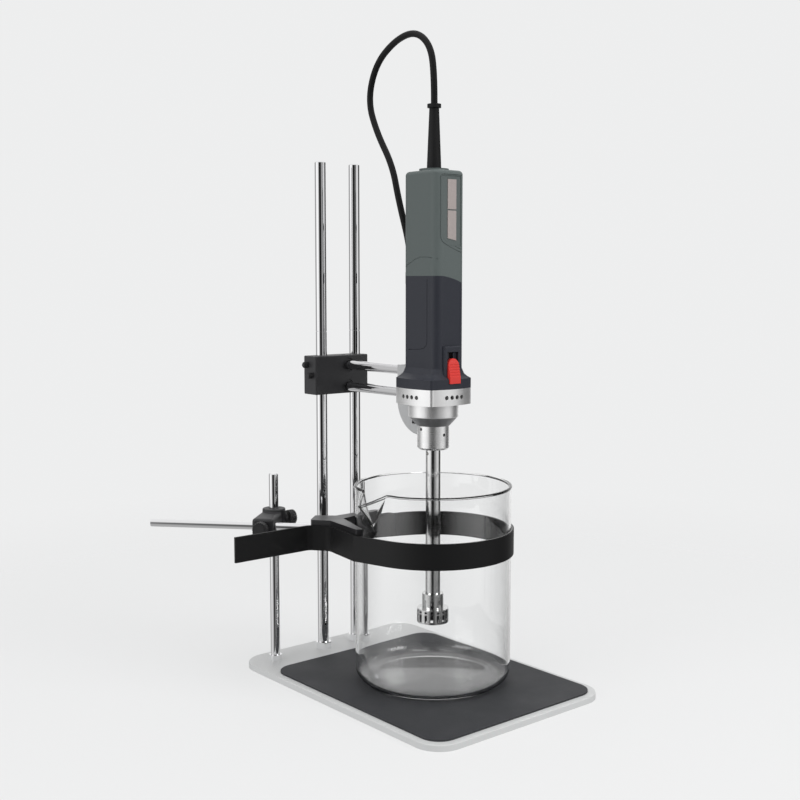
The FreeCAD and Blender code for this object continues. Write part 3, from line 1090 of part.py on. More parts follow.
save("v_jaw", placed(v_jaw()))
save("strap", placed(strap()))
save("strap_screw", placed(strap_screw()))
save("clamp_rod", placed(clamp_rod()))
save("boss_head", placed(boss_head()))
save("boss_post_knob", placed(boss_post_knob()))
save("boss_rod_knob", placed(boss_rod_knob()))


# ---- strain relief, cord, hank, tie and plug ----
def strain_relief():
    """Tapered boot moulded on the cord, with a ring at its tip and a flange inside the crown."""
    base = BODY_TOP + TOP_BOSS_H
    flange_r = BOOT_BASE_D / 2 + BOOT_FLANGE
    inside = BODY_TOP - BODY_WALL
    under = inside - BOOT_FLANGE_T
    tip_top = BOOT_END
    return turned([(0, under), (flange_r, under), (flange_r, inside), (BOOT_BASE_D / 2, inside),
                   (BOOT_BASE_D / 2, base), (BOOT_TIP_D / 2, BOOT_TIP_Z), (BOOT_RING_D / 2, BOOT_TIP_Z),
                   (BOOT_RING_D / 2, tip_top), (0, tip_top)])


def tube_along(route, d):
    """Tube of straight runs joined by tangent arcs; returns the solid, its length and its radii."""
    points = [V(*p) for p in route]
    edges, radii, last = [], [], points[0]
    for i in range(1, len(points) - 1):
        into, out = points[i] - points[i - 1], points[i + 1] - points[i]
        half_turn = into.getAngle(out) / 2
        reach = 0.45 * min(into.Length, out.Length)
        radius = reach / math.tan(half_turn)
        into.normalize()
        out.normalize()
        start, end = points[i] - into * reach, points[i] + out * reach
        inward = out - into
        inward.normalize()
        middle = points[i] + inward * (radius * (1 / math.cos(half_turn) - 1))
        edges.append(Part.makeLine(last, start))
        edges.append(Part.Arc(start, middle, end).toShape())
        radii.append(radius)
        last = end
    edges.append(Part.makeLine(last, points[-1]))
    path = Part.Wire(edges)
    first = points[1] - points[0]
    profile = Part.Wire([Part.Circle(points[0], first, d / 2).toShape()])
    solid = path.makePipeShell([profile], True, False)
    return solid, path.Length, radii


cord, cord_length, cord_radii = tube_along(CORD_ROUTE, CORD_D)
print("cord tube length %.1f" % cord_length, "volume ratio %.4f"
      % (cord.Volume / (math.pi * CORD_D ** 2 / 4 * cord_length)))
print("cord radii", [round(r, 1) for r in cord_radii])


def racetrack(radius, y, depth):
    """Upright oval slab with round ends."""
    slab = Part.makeBox(2 * radius, depth, HANK_RUN, V(HANK_MID_X - radius, y, HANK_LOW))
    for z in (HANK_LOW, HANK_LOW + HANK_RUN):
        slab = slab.fuse(bar((HANK_MID_X, y, z), (0, 1, 0), 2 * radius, depth))
    return slab.removeSplitter()


def cord_hank():
    """Outer shape of the wound turns, open in the middle, with a notch where the cord enters."""
    hank = racetrack(HANK_OUT, HANK_Y, HANK_DEEP)
    hank = hank.cut(racetrack(HANK_FOLD - CORD_D / 2, HANK_Y, HANK_DEEP))
    wide, top = CORD_D + SOFT_GAP, HANK_LOW + HANK_RUN + HANK_OUT
    notch = Part.makeBox(wide + 1, wide + 1, top - HANK_ENTRY_Z,
                         V(HANK_X - 1, HANK_Y + HANK_DEEP - wide, HANK_ENTRY_Z))
    return hank.cut(notch)


def power_plug():
    """Two-pin plug that lies on the back of the hank, pins down."""
    w, t, h = PLUG_BODY
    x, y, z = HANK_MID_X, PLUG_Y, HANK_LOW - PLUG_DROP
    body = box(x, y, z, w, t, h)
    body = body.makeFillet(PLUG_ROUND, [e for e in body.Edges if e.BoundBox.ZMax > z + 1])
    neck = Part.makeCone(t / 2 - 1, CORD_D / 2 + 1, PLUG_NECK, V(x, y, z + h))
    plug = body.fuse(neck)
    for side in (-1, 1):
        pin_x = x + side * PLUG_PIN_PITCH / 2
        plug = plug.fuse(bar((pin_x, y, z), (0, 0, -1), PLUG_PIN_D, PLUG_PIN_L))
    return plug


def hank_tie():
    """Flat tie round the waist of the hank."""
    z = HANK_LOW + HANK_RUN / 2 + TIE_RISE
    w, d = 2 * HANK_OUT + 2 * SOFT_GAP, HANK_DEEP + 2 * SOFT_GAP
    y = HANK_Y + HANK_DEEP / 2
    outside = box(HANK_MID_X, y, z, w + 2 * TIE_T, d + 2 * TIE_T, TIE_W)
    outside = outside.makeFillet(2.5 * TIE_T, upright_edges(outside))
    inside = box(HANK_MID_X, y, z, w, d, TIE_W)
    inside = inside.makeFillet(2.5 * SOFT_GAP, upright_edges(inside))
    return outside.cut(inside)


save("strain_relief", strain_relief())
save("power_cord", cord)
save("cord_hank", cord_hank())
save("hank_tie", hank_tie())
save("power_plug", power_plug())
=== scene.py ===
import math

import bmesh
import bpy
from mathutils import Matrix, Vector


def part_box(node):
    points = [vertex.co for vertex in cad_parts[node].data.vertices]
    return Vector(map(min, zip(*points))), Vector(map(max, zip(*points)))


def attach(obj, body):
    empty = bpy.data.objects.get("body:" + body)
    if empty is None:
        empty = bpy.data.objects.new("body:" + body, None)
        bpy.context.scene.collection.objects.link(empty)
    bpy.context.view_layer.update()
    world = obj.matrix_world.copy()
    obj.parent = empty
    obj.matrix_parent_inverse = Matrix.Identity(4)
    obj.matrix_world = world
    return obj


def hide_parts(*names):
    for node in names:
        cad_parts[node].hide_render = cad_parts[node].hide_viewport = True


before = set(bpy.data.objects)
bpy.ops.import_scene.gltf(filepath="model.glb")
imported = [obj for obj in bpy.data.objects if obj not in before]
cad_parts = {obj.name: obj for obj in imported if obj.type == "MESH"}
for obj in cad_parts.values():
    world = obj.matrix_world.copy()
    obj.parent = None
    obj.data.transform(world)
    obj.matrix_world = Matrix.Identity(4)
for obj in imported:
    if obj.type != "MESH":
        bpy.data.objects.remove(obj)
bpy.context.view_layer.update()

mm = 0.001

# ---- stage ----
# A pale bench top under soft studio light. The bench fades into the pale room,
# and shiny metal sees the room's tall soft boxes and the dark gaps between them.
ROOM = (0.852, 0.856, 0.858, 1.0)
SOFT_BOXES = [          # compass bearing in degrees, brightness
    (-180, 0.42), (-166, 0.34), (-152, 0.06), (-144, 0.006), (-124, 0.006), (-112, 0.16), (-98, 0.92),
    (-62, 1.22), (-40, 0.60), (-14, 0.22), (10, 0.50), (28, 0.98), (66, 0.98), (84, 0.30), (98, 0.02),
    (118, 0.02), (130, 0.55), (146, 0.92), (166, 0.78), (180, 0.42),
]
LOW_BOXES = [           # the same, seen past the bench's edge
    (-180, 0.24), (-162, 0.30), (-150, 0.10), (-140, 0.03), (-124, 0.03), (-108, 0.40), (-62, 0.80),
    (-20, 0.34), (28, 0.66), (66, 0.60), (90, 0.05), (104, 0.03), (166, 0.03), (180, 0.24),
]
CEILING_RISE, CEILING_LIGHT = (0.30, 0.70), 0.92        # slope of the glance where it takes over, brightness
LOW_BOX_DIP = (-0.16, -0.30)
FLOOR_DIP, FLOOR_LIGHT = (-0.60, -0.82), 0.46
AMBIENT_LIGHT = 0.52
BENCH_RADIUS = 3.0
BENCH_FADE = (0.30, 1.15)                               # metres from the middle
BENCH_GLOW = 0.62


def node(tree, kind, **values):
    """A new node, with attributes by name and inputs by socket name or number."""
    made = tree.nodes.new(kind)
    for key, value in values.items():
        if key == "inputs":
            for socket, given in value.items():
                made.inputs[socket].default_value = given
        else:
            setattr(made, key, value)
    return made


def grey(light):
    return (light, light, light, 1.0)


def shown(name, data):
    """A new object in the scene that holds the mesh, curve, lamp or camera."""
    made = bpy.data.objects.new(name, data)
    bpy.context.scene.collection.objects.link(made)
    return made


def light_ring(tree, ring, turn):
    """The brightness all round, from a list of bearings."""
    boxes = node(tree, "ShaderNodeValToRGB")
    stops = boxes.color_ramp.elements
    for i, (degrees, light) in enumerate(ring):
        stop = stops[i] if i < 2 else stops.new((degrees + 180) / 360)
        stop.position = (degrees + 180) / 360
        stop.color = grey(light)
    tree.links.new(turn, boxes.inputs[0])
    return boxes.outputs[0]


def room_light():
    """The room as the eye, the shadows and the shiny metal each see it."""
    world = bpy.data.worlds.new("studio_room")
    bpy.context.scene.world = world
    world.use_nodes = True
    tree = world.node_tree
    link = tree.links.new
    tree.nodes.clear()
    rays = node(tree, "ShaderNodeLightPath")
    place = node(tree, "ShaderNodeTexCoord")
    axes = node(tree, "ShaderNodeSeparateXYZ")
    link(place.outputs["Generated"], axes.inputs[0])
    bearing = node(tree, "ShaderNodeMath", operation="ARCTAN2")
    link(axes.outputs["X"], bearing.inputs[0])
    link(axes.outputs["Y"], bearing.inputs[1])
    turn = node(tree, "ShaderNodeMapRange", inputs={1: -math.pi, 2: math.pi, 3: 0.0, 4: 1.0})
    link(bearing.outputs[0], turn.inputs[0])
    shade = light_ring(tree, SOFT_BOXES, turn.outputs[0])
    low_ring = light_ring(tree, LOW_BOXES, turn.outputs[0])
    layers = ((CEILING_RISE, grey(CEILING_LIGHT), None), (LOW_BOX_DIP, grey(0.0), low_ring),
              (FLOOR_DIP, grey(FLOOR_LIGHT), None))
    for (start, end), flat, ring in layers:
        share = node(tree, "ShaderNodeMapRange", inputs={1: start, 2: end, 3: 0.0, 4: 1.0})
        link(axes.outputs["Z"], share.inputs[0])
        layer = node(tree, "ShaderNodeMix", data_type="RGBA", inputs={7: flat})
        link(share.outputs[0], layer.inputs[0])
        link(shade, layer.inputs[6])
        if ring:
            link(ring, layer.inputs[7])
        shade = layer.outputs[2]
    mirrored = node(tree, "ShaderNodeBackground", inputs={"Strength": 1.0})
    link(shade, mirrored.inputs["Color"])
    ambient = node(tree, "ShaderNodeBackground", inputs={"Color": grey(1.0), "Strength": AMBIENT_LIGHT})
    seen = node(tree, "ShaderNodeBackground", inputs={"Color": ROOM, "Strength": 1.0})
    bounced = node(tree, "ShaderNodeMath", operation="GREATER_THAN", inputs={1: 0.5})
    link(rays.outputs["Glossy Depth"], bounced.inputs[0])
    shiny = node(tree, "ShaderNodeMath", operation="MAXIMUM")
    link(rays.outputs["Is Glossy Ray"], shiny.inputs[0])
    link(bounced.outputs[0], shiny.inputs[1])
    first = node(tree, "ShaderNodeMixShader")
    link(shiny.outputs[0], first.inputs[0])
    link(ambient.outputs[0], first.inputs[1])
    link(mirrored.outputs[0], first.inputs[2])
    direct = node(tree, "ShaderNodeMath", operation="MAXIMUM")
    link(rays.outputs["Is Camera Ray"], direct.inputs[0])
    link(rays.outputs["Is Transmission Ray"], direct.inputs[1])
    straight = node(tree, "ShaderNodeMath", operation="SUBTRACT", use_clamp=True)
    link(direct.outputs[0], straight.inputs[0])
    link(bounced.outputs[0], straight.inputs[1])
    last = node(tree, "ShaderNodeMixShader")
    link(straight.outputs[0], last.inputs[0])
    link(first.outputs[0], last.inputs[1])
    link(seen.outputs[0], last.inputs[2])
    out = node(tree, "ShaderNodeOutputWorld")
    link(last.outputs[0], out.inputs["Surface"])


def soft_lamp(name, place, target, size, power):
    """A square lamp that lights the object and is not mirrored in it."""
    lamp = bpy.data.lights.new(name, "AREA")
    lamp.size = size
    lamp.energy = power
    holder = shown(name, lamp)
    holder.location = place
    holder.rotation_euler = (Vector(target) - Vector(place)).to_track_quat("-Z", "Y").to_euler()
    holder.visible_glossy = False


def bench_top():
    """A round pale floor that fades out, and that shiny metal does not mirror."""
    mesh = bpy.data.meshes.new("bench_top")
    work = bmesh.new()
    bmesh.ops.create_circle(work, cap_ends=True, segments=96, radius=BENCH_RADIUS)
    work.to_mesh(mesh)
    work.free()
    floor = shown("bench_top", mesh)
    mat = bpy.data.materials.new("bench_top")
    mat.use_nodes = True
    tree = mat.node_tree
    link = tree.links.new
    tree.nodes.clear()
    place = node(tree, "ShaderNodeTexCoord")
    reach = node(tree, "ShaderNodeVectorMath", operation="LENGTH")
    link(place.outputs["Object"], reach.inputs[0])
    fade = node(tree, "ShaderNodeMapRange", interpolation_type="SMOOTHSTEP",
                inputs={1: BENCH_FADE[0], 2: BENCH_FADE[1], 3: 0.0, 4: 1.0})
    link(reach.outputs["Value"], fade.inputs[0])
    lit = node(tree, "ShaderNodeBsdfDiffuse", inputs={"Color": ROOM})
    even = node(tree, "ShaderNodeEmission", inputs={"Color": ROOM, "Strength": 1.0})
    blend = node(tree, "ShaderNodeMixShader", inputs={0: BENCH_GLOW})
    link(lit.outputs[0], blend.inputs[1])
    link(even.outputs[0], blend.inputs[2])
    clear = node(tree, "ShaderNodeBsdfTransparent")
    edge = node(tree, "ShaderNodeMixShader")
    rays = node(tree, "ShaderNodeLightPath")
    unseen = node(tree, "ShaderNodeMath", operation="MAXIMUM")
    link(rays.outputs["Is Glossy Ray"], unseen.inputs[0])
    link(fade.outputs[0], unseen.inputs[1])
    link(unseen.outputs[0], edge.inputs[0])
    link(blend.outputs[0], edge.inputs[1])
    link(clear.outputs[0], edge.inputs[2])
    out = node(tree, "ShaderNodeOutputMaterial")
    link(edge.outputs[0], out.inputs["Surface"])
    mesh.materials.append(mat)


room_light()
bench_top()
soft_lamp("key_right", (0.75, -1.75, 1.15), (0.0, 0.0, 0.30), 1.1, 16.0)
soft_lamp("fill_left", (-1.90, 0.10, 1.00), (0.0, 0.0, 0.30), 1.1, 9.0)
soft_lamp("top_light", (-0.10, -0.20, 2.00), (0.0, 0.0, 0.20), 1.2, 12.0)

camera_data = bpy.data.cameras.new("camera")
camera_data.lens = 52.33
camera_data.sensor_width = 36.0
camera = shown("camera", camera_data)
camera.location = (-0.7547, -0.8775, 0.4089)
camera.rotation_euler = (math.radians(90 - 5.910), 0.0, math.radians(-39.906))
bpy.context.scene.camera = camera
bpy.context.scene.view_settings.view_transform = "Standard"


# ---- base plate and rubber mat ----
# The plate is cast aluminium with a satin lacquer and a rolled edge. The mat is a
# moulded black rubber sheet with a fine pebbled skin, laid on the plate.
def tone(red, green, blue):
    """A finish colour, each part from 0 to 255 as a paint chart gives it, as linear light."""
    parts = []
    for part in (red, green, blue):
        c = part / 255
        parts.append(c / 12.92 if c <= 0.04045 else ((c + 0.055) / 1.055) ** 2.4)
    return tuple(parts) + (1.0,)


def finish(name, colour, rough, metallic=0.0, mottle=0.05, mottle_scale=25.0, swing=0.05,
           grain=0.15, grain_size=0.4, stretch=(1.0, 1.0, 1.0), specular=0.5):
    """A worked surface: cloudy colour and gloss at one scale, and a fine grain at another, in mm."""
    mat = bpy.data.materials.new(name)
    mat.use_nodes = True
    tree = mat.node_tree
    link = tree.links.new
    skin = tree.nodes["Principled BSDF"]
    skin.inputs["Metallic"].default_value = metallic
    skin.inputs["Specular IOR Level"].default_value = specular
    place = node(tree, "ShaderNodeTexCoord")
    drawn = node(tree, "ShaderNodeMapping", inputs={"Scale": stretch})
    link(place.outputs["Object"], drawn.inputs["Vector"])
    cloud = node(tree, "ShaderNodeTexNoise", inputs={"Scale": mottle_scale, "Detail": 4.0, "Roughness": 0.6})
    link(drawn.outputs[0], cloud.inputs["Vector"])
    dark = tuple(c * (1 - mottle) for c in colour[:3]) + (1.0,)
    light = tuple(min(1.0, c * (1 + mottle)) for c in colour[:3]) + (1.0,)
    tint = node(tree, "ShaderNodeMix", data_type="RGBA", inputs={6: dark, 7: light})
    link(cloud.outputs["Fac"], tint.inputs[0])
    link(tint.outputs[2], skin.inputs["Base Color"])
    gloss = node(tree, "ShaderNodeMapRange",
                 inputs={1: 0.3, 2: 0.7, 3: max(0.02, rough - swing), 4: min(1.0, rough + swing)})
    link(cloud.outputs["Fac"], gloss.inputs[0])
    link(gloss.outputs[0], skin.inputs["Roughness"])
    if grain:
        pores = node(tree, "ShaderNodeTexNoise",
                     inputs={"Scale": 1.0 / (grain_size * mm), "Detail": 2.0, "Roughness": 0.5})
        link(drawn.outputs[0], pores.inputs["Vector"])
        relief = node(tree, "ShaderNodeBump", inputs={"Strength": grain, "Distance": 0.1 * mm})
        link(pores.outputs["Fac"], relief.inputs["Height"])
        link(relief.outputs[0], skin.inputs["Normal"])
    return mat


def dress(mat, *names):
    """Puts the finish on the plain solids of those names."""
    for name in names:
        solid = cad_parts[name]
        if not solid.material_slots:
            solid.data.materials.append(mat)
        for held in solid.material_slots:
            held.material = mat


dress(finish("lacquered_plate", tone(206, 207, 207), 0.42, mottle=0.02, grain=0.10, grain_size=0.5),
      "base_plate")
dress(finish("pebbled_rubber", tone(50, 51, 54), 0.62, mottle=0.10, grain=0.55, grain_size=0.7,
             specular=0.35), "rubber_mat")


# ---- posts ----
# Ground steel bars, hard chromed. Each tall post is two lengths screwed end to end,
# and stands in a chromed nut on the plate. The short post has a collar.
bright_chrome = finish("hard_chrome", (0.84, 0.84, 0.85, 1.0), 0.05, metallic=1.0, mottle=0.02,
                       mottle_scale=60.0, swing=0.015, grain=0.004, grain_size=3.0, stretch=(1.0, 1.0, 0.05))
dress(bright_chrome, "post_left_lower", "post_left_upper", "post_right_lower", "post_right_upper",
      "post_foot_nuts", "short_post", "short_post_collar")


# ---- cross block and rods ----
# A milled aluminium block, black anodised, slides on both tall posts. Two chromed
# rods are held in it by blackened grub screws and carry the motor.
black_anodised = finish("black_anodised", tone(50, 50, 52), 0.46, mottle=0.08, grain=0.22, grain_size=0.35,
                        specular=0.45)
dark_steel = finish("blackened_steel", tone(70, 70, 72), 0.34, metallic=0.8, grain=0.1, grain_size=0.3)
dress(black_anodised, "cross_block")
dress(bright_chrome, "rod_lower", "rod_upper")
dress(dark_steel, "rod_grub_screws", "bracket_screws", "strap_screw")
dress(finish("black_oxide", tone(16, 16, 17), 0.5, grain=0.1), "sleeve_grub_screws")


# ---- motor bracket ----
# A cast aluminium web, bead blasted, bored for the rods and screwed to the nose.
dress(finish("blasted_casting", tone(200, 201, 202), 0.48, metallic=0.55, mottle=0.05, grain=0.30,
             grain_size=0.5), "motor_bracket")


# ---- nose of the motor ----
# Turned metal with fine tool lines round it: an aluminium vent housing with a neck,
# a darker tapered ring, and the steel sleeve that holds the dispersing tool.
dress(finish("turned_aluminium", tone(250, 250, 250), 0.33, metallic=0.84, mottle=0.015, swing=0.03,
             grain=0.05, grain_size=1.0, stretch=(0.2, 0.2, 5.0)), "vent_housing")
dress(finish("turned_steel", tone(248, 248, 248), 0.27, metallic=0.88, mottle=0.015, swing=0.03,
             grain=0.05, grain_size=1.0, stretch=(0.2, 0.2, 5.0)), "coupling_sleeve")
dress(finish("turned_dark_ring", tone(158, 158, 160), 0.36, metallic=0.85, mottle=0.02,
             grain=0.06, grain_size=1.0, stretch=(0.2, 0.2, 5.0)), "taper_ring")


# ---- motor housing ----
# Two glass-filled nylon mouldings, green grey above and blue black below, with a
# fine spark-eroded texture, meeting along a slanted joint.
SEAM_GROOVE, STEP_GROOVE, SLOT_GROOVE = 0.5, 0.38, 0.6      # cutter radii in mm
SHELL_LEFT, SHELL_RIGHT, SHELL_FRONT, SHELL_BACK = -12.5, 26.5, -43.7, 7.1
SHELL_MIDDLE = (SHELL_LEFT + SHELL_RIGHT) / 2
SHELL_CORNER = 9.0
WELD = 0.004                                                # mm
SHELL_CREASE = 28
CROWN_SEAM = [          # depth and height on both sides, in mm
    (8.0, 417.0), (4.0, 420.0), (0.0, 422.6), (-6.8, 425.6), (-13.0, 428.6), (-20.0, 430.4), (-29.0, 430.6),
    (-36.0, 429.8), (-42.0, 428.6),
]
DOOR_SEAM = [
    (-30.7, 409.0), (-30.7, 380.0), (-30.7, 350.0), (-29.6, 345.4), (-26.0, 342.4), (-20.0, 341.3),
    (-8.0, 340.6), (2.0, 340.4),
]
PANEL_FRAME = [         # width and height on the front, in mm
    (20.4, 508.8), (5.0, 508.8), (-4.4, 508.8), (-6.6, 506.6), (-6.6, 480.0), (-6.6, 449.0), (-5.4, 446.0),
    (-2.5, 443.7), (5.3, 440.1), (14.4, 436.8), (20.4, 435.2),
]
PANEL_STEP = [
    (-4.6, 505.0), (-4.6, 480.0), (-4.6, 450.8), (-3.7, 448.4), (-1.3, 446.5), (6.1, 442.8), (15.0, 439.6),
    (20.6, 438.0),
]
PANEL_SLOT = [(4.6, 506.3), (9.4, 506.3)]


def corner_sink(past):
    """How far the rounded corner falls back, that far past its start, in mm."""
    past = min(SHELL_CORNER, max(past, 0.0))
    return SHELL_CORNER - math.sqrt(SHELL_CORNER ** 2 - past ** 2)


def on_side(x, y):
    """The point of the shell's side at that depth, round its corners too, in mm."""
    sink = corner_sink(max(SHELL_FRONT + SHELL_CORNER - y, y - SHELL_BACK + SHELL_CORNER))
    return x + sink if x < SHELL_MIDDLE else x - sink


def on_front(x):
    """The shell's front at that width, round its corners too, in mm."""
    return SHELL_FRONT + corner_sink(max(SHELL_LEFT + SHELL_CORNER - x, x - SHELL_RIGHT + SHELL_CORNER))


def baked(solid):
    """The plain mesh that the object's curve or modifiers come to."""
    return bpy.data.meshes.new_from_object(solid.evaluated_get(bpy.context.evaluated_depsgraph_get()))


def cut_away(solid, tool):
    """Takes the tool's shape out of the solid, and clears the tool away."""
    cut = solid.modifiers.new("cut", "BOOLEAN")
    cut.operation = "DIFFERENCE"
    cut.solver = "EXACT"
    cut.object = tool
    carved = baked(solid)
    solid.modifiers.remove(cut)
    bpy.data.objects.remove(tool)
    solid.data = carved


def creased(mesh, degrees):
    """Smooth faces that keep their edges where they turn by more than that."""
    for face in mesh.polygons:
        face.use_smooth = True
    mesh.set_sharp_from_angle(angle=math.radians(degrees))


def coated(mesh, name, mat):
    """Gives all of the mesh one name and one finish."""
    mesh.name = name
    mesh.materials.clear()
    mesh.materials.append(mat)
    for face in mesh.polygons:
        face.material_index = 0


def merged_copy(solid):
    """A copy of a solid's mesh with its triangles joined up."""
    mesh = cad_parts[solid].data.copy()
    if "custom_normal" in mesh.attributes:
        mesh.attributes.remove(mesh.attributes["custom_normal"])
    work = bmesh.new()
    work.from_mesh(mesh)
    bmesh.ops.remove_doubles(work, verts=work.verts, dist=WELD * mm)
    work.to_mesh(mesh)
    work.free()
    return mesh


def score_bar(points, radius):
    """A thin bar along the points, to cut a groove with."""
    line = bpy.data.curves.new("score_line", "CURVE")
    line.dimensions = "3D"
    line.bevel_depth = radius * mm
    line.bevel_resolution = 1
    line.use_fill_caps = True
    run = line.splines.new("POLY")
    run.points.add(len(points) - 1)
    for held, (x, y, z) in zip(run.points, points):
        held.co = (x * mm, y * mm, z * mm, 1.0)
    holder = shown("score_line", line)
    bar = baked(holder)
    bpy.data.objects.remove(holder)
    return shown("score_bar", bar)


def scored_shell(name, solid, lines, mat):
    """A housing half with its parting and panel lines cut in."""
    shell = shown(name, merged_copy(solid))
    for points, radius in lines:
        cut_away(shell, score_bar(points, radius))
    creased(shell.data, SHELL_CREASE)
    even = shell.modifiers.new("even", "WEIGHTED_NORMAL")
    even.keep_sharp = True
    even.weight = 100
    shell.data = baked(shell)
    shell.modifiers.remove(even)
    coated(shell.data, name, mat)
    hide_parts(solid)
    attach(shell, "motor_arm")


def side_lines(points, radius):
    """The same line on the left and the right side."""
    left = [(on_side(SHELL_LEFT, y), y, z) for y, z in points]
    right = [(on_side(SHELL_RIGHT, y), y, z) for y, z in points]
    return [(left, radius), (right, radius)]


green_nylon = finish("green_grey_nylon", tone(91, 99, 98), 0.50, mottle=0.03, grain=0.28, grain_size=0.45,
                     specular=0.4)
blue_nylon = finish("blue_black_nylon", tone(45, 47, 55), 0.48, mottle=0.05, grain=0.28, grain_size=0.45,
                    specular=0.4)
front_lines = [
    ([(x, on_front(x), z) for x, z in PANEL_FRAME], SEAM_GROOVE),
    ([(x, on_front(x), z) for x, z in PANEL_STEP], STEP_GROOVE),
    ([(x, SHELL_FRONT, z) for x, z in PANEL_SLOT], SLOT_GROOVE),
]
scored_shell("upper_shell", "housing_upper", side_lines(CROWN_SEAM, SEAM_GROOVE) + front_lines, green_nylon)
scored_shell("lower_shell", "housing_lower", side_lines(DOOR_SEAM, SEAM_GROOVE), blue_nylon)


# ---- rating plates and switch ----
# Two bare brushed plates are glued in the panel. A red ribbed slide button runs in a
# slot of the lower shell, and its moulded tongue works the switch inside.
dress(finish("brushed_plate", tone(176, 166, 163), 0.34, metallic=0.35, mottle=0.10, mottle_scale=60.0,
             grain=0.25, grain_size=0.9, stretch=(6.0, 6.0, 0.3)), "label_plates")
dress(finish("red_acetal", tone(214, 54, 47), 0.36, mottle=0.04, grain=0.12, grain_size=0.5), "switch_button")


TONGUE_HALF, GUIDE_HALF = 2.85, 4.9                         # mm either side of the button's middle
GUIDE_LOW, GUIDE_HIGH = 324.0, 338.4
GUIDE_BACK, GUIDE_FRONT = -42.2, -43.6


def switch_guides(middle_x):
    """Two lips of the lower shell that narrow the slot to the button's tongue."""
    work = bmesh.new()
    size = Vector((GUIDE_HALF - TONGUE_HALF, GUIDE_BACK - GUIDE_FRONT, GUIDE_HIGH - GUIDE_LOW)) * mm
    for side in (-1, 1):
        block = bmesh.ops.create_cube(work, size=1.0)["verts"]
        middle = Vector((middle_x + side * (TONGUE_HALF + GUIDE_HALF) / 2 * mm,
                         (GUIDE_BACK + GUIDE_FRONT) / 2 * mm, (GUIDE_LOW + GUIDE_HIGH) / 2 * mm))
        for corner in block:
            corner.co = corner.co * size + middle
    bmesh.ops.bevel(work, geom=list(work.edges), offset=0.12 * mm, segments=2, affect="EDGES")
    mesh = bpy.data.meshes.new("switch_guides")
    work.to_mesh(mesh)
    work.free()
    mesh.materials.append(blue_nylon)
    return shown("switch_guides", mesh)


tube_low, tube_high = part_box("stator_tube")
work_axis = (tube_low + tube_high) / 2
guides = switch_guides(work_axis.x)
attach(guides, "motor_arm")


# ---- inside the motor ----
# Stacked laminations, enamelled windings, a commutator with carbon brushes, rolling
# bearings, a moulded fan and the switch box, all closed in by the housing.
dress(finish("stacked_laminations", tone(128, 128, 132), 0.42, metallic=0.9, mottle=0.06, grain=0.4,
             grain_size=0.8, stretch=(0.05, 0.05, 4.0)), "stator_core", "armature")
dress(finish("enamelled_wire", tone(176, 104, 56), 0.30, metallic=0.8, mottle=0.10, grain=0.5,
             grain_size=0.9, stretch=(1.0, 1.0, 3.0)), "field_coils", "commutator")
dress(finish("ground_steel", tone(190, 190, 192), 0.22, metallic=1.0, grain=0.12, grain_size=0.9,
             stretch=(0.3, 0.3, 6.0)), "motor_shaft", "top_bearing", "nose_bearing",
      "shaft_coupling", "drive_shaft")
dress(finish("inner_nylon", tone(62, 62, 63), 0.55, grain=0.2),
      "cooling_fan", "bearing_bridge", "switch_module", "nose_seal")
dress(finish("pressed_brass", tone(196, 168, 108), 0.30, metallic=1.0, grain=0.1), "brush_holders")
dress(finish("pressed_carbon", tone(46, 46, 47), 0.60, grain=0.3, grain_size=0.3), "carbon_brushes")


# ---- dispersing tool ----
# Polished stainless steel: a long tube with a shaft inside it, and at the foot a
# slotted head that the rotor turns in. White fluoropolymer bushes guide the shaft.
dress(finish("polished_stainless", grey(0.74), 0.12, metallic=1.0, mottle=0.04, mottle_scale=50.0, swing=0.05,
             grain=0.06, grain_size=0.9, stretch=(0.4, 0.4, 4.0)), "stator_tube", "stator_head")
dress(finish("dark_rotor_steel", tone(66, 66, 68), 0.40, metallic=0.9, grain=0.1, grain_size=0.5),
      "rotor_head")
dress(finish("white_fluoropolymer", tone(228, 226, 220), 0.45, grain=0.1), "shaft_bushes")


# ---- beaker ----
# Blown borosilicate glass with a fire-polished rim, a rounded foot and a pulled
# pouring lip. It is held against the jaw by the strap.
BEAKER_RADIUS, BEAKER_WALL = 78.2, 2.4
BEAKER_BASE, BEAKER_TOP, BEAKER_FLOOR = 7.6, 206.0, 3.0
FOOT_ROUND, FOOT_STEPS = 13.0, 8
RIM_BEAD, BEAD_SPREAD, BEAD_OUT = 1.35, 1.15, 0.3
BEAD_FROM, BEAD_TURN, BEAD_STEPS = -20, 220, 8              # degrees round the bead, from outside to inside
LIP_HALF_ANGLE, LIP_REACH, LIP_DROP, LIP_DEPTH = 13.6, 17.0, 11.0, 33.5
LIP_BEND = 1.2                                              # how late the lip's drop sets in
PINCH, PINCH_AT, PINCH_WIDTH = 1.4, 1.25, 0.30              # mm, then shares of the lip's half angle
WALL_ROWS, LIP_ROWS = [40.0, 70.0, 100.0, 130.0, 155.0, 168.0], 20
LIP_ZONE, PLAIN_TURN, LIP_TURN = 24.0, 3.0, 0.8             # degrees


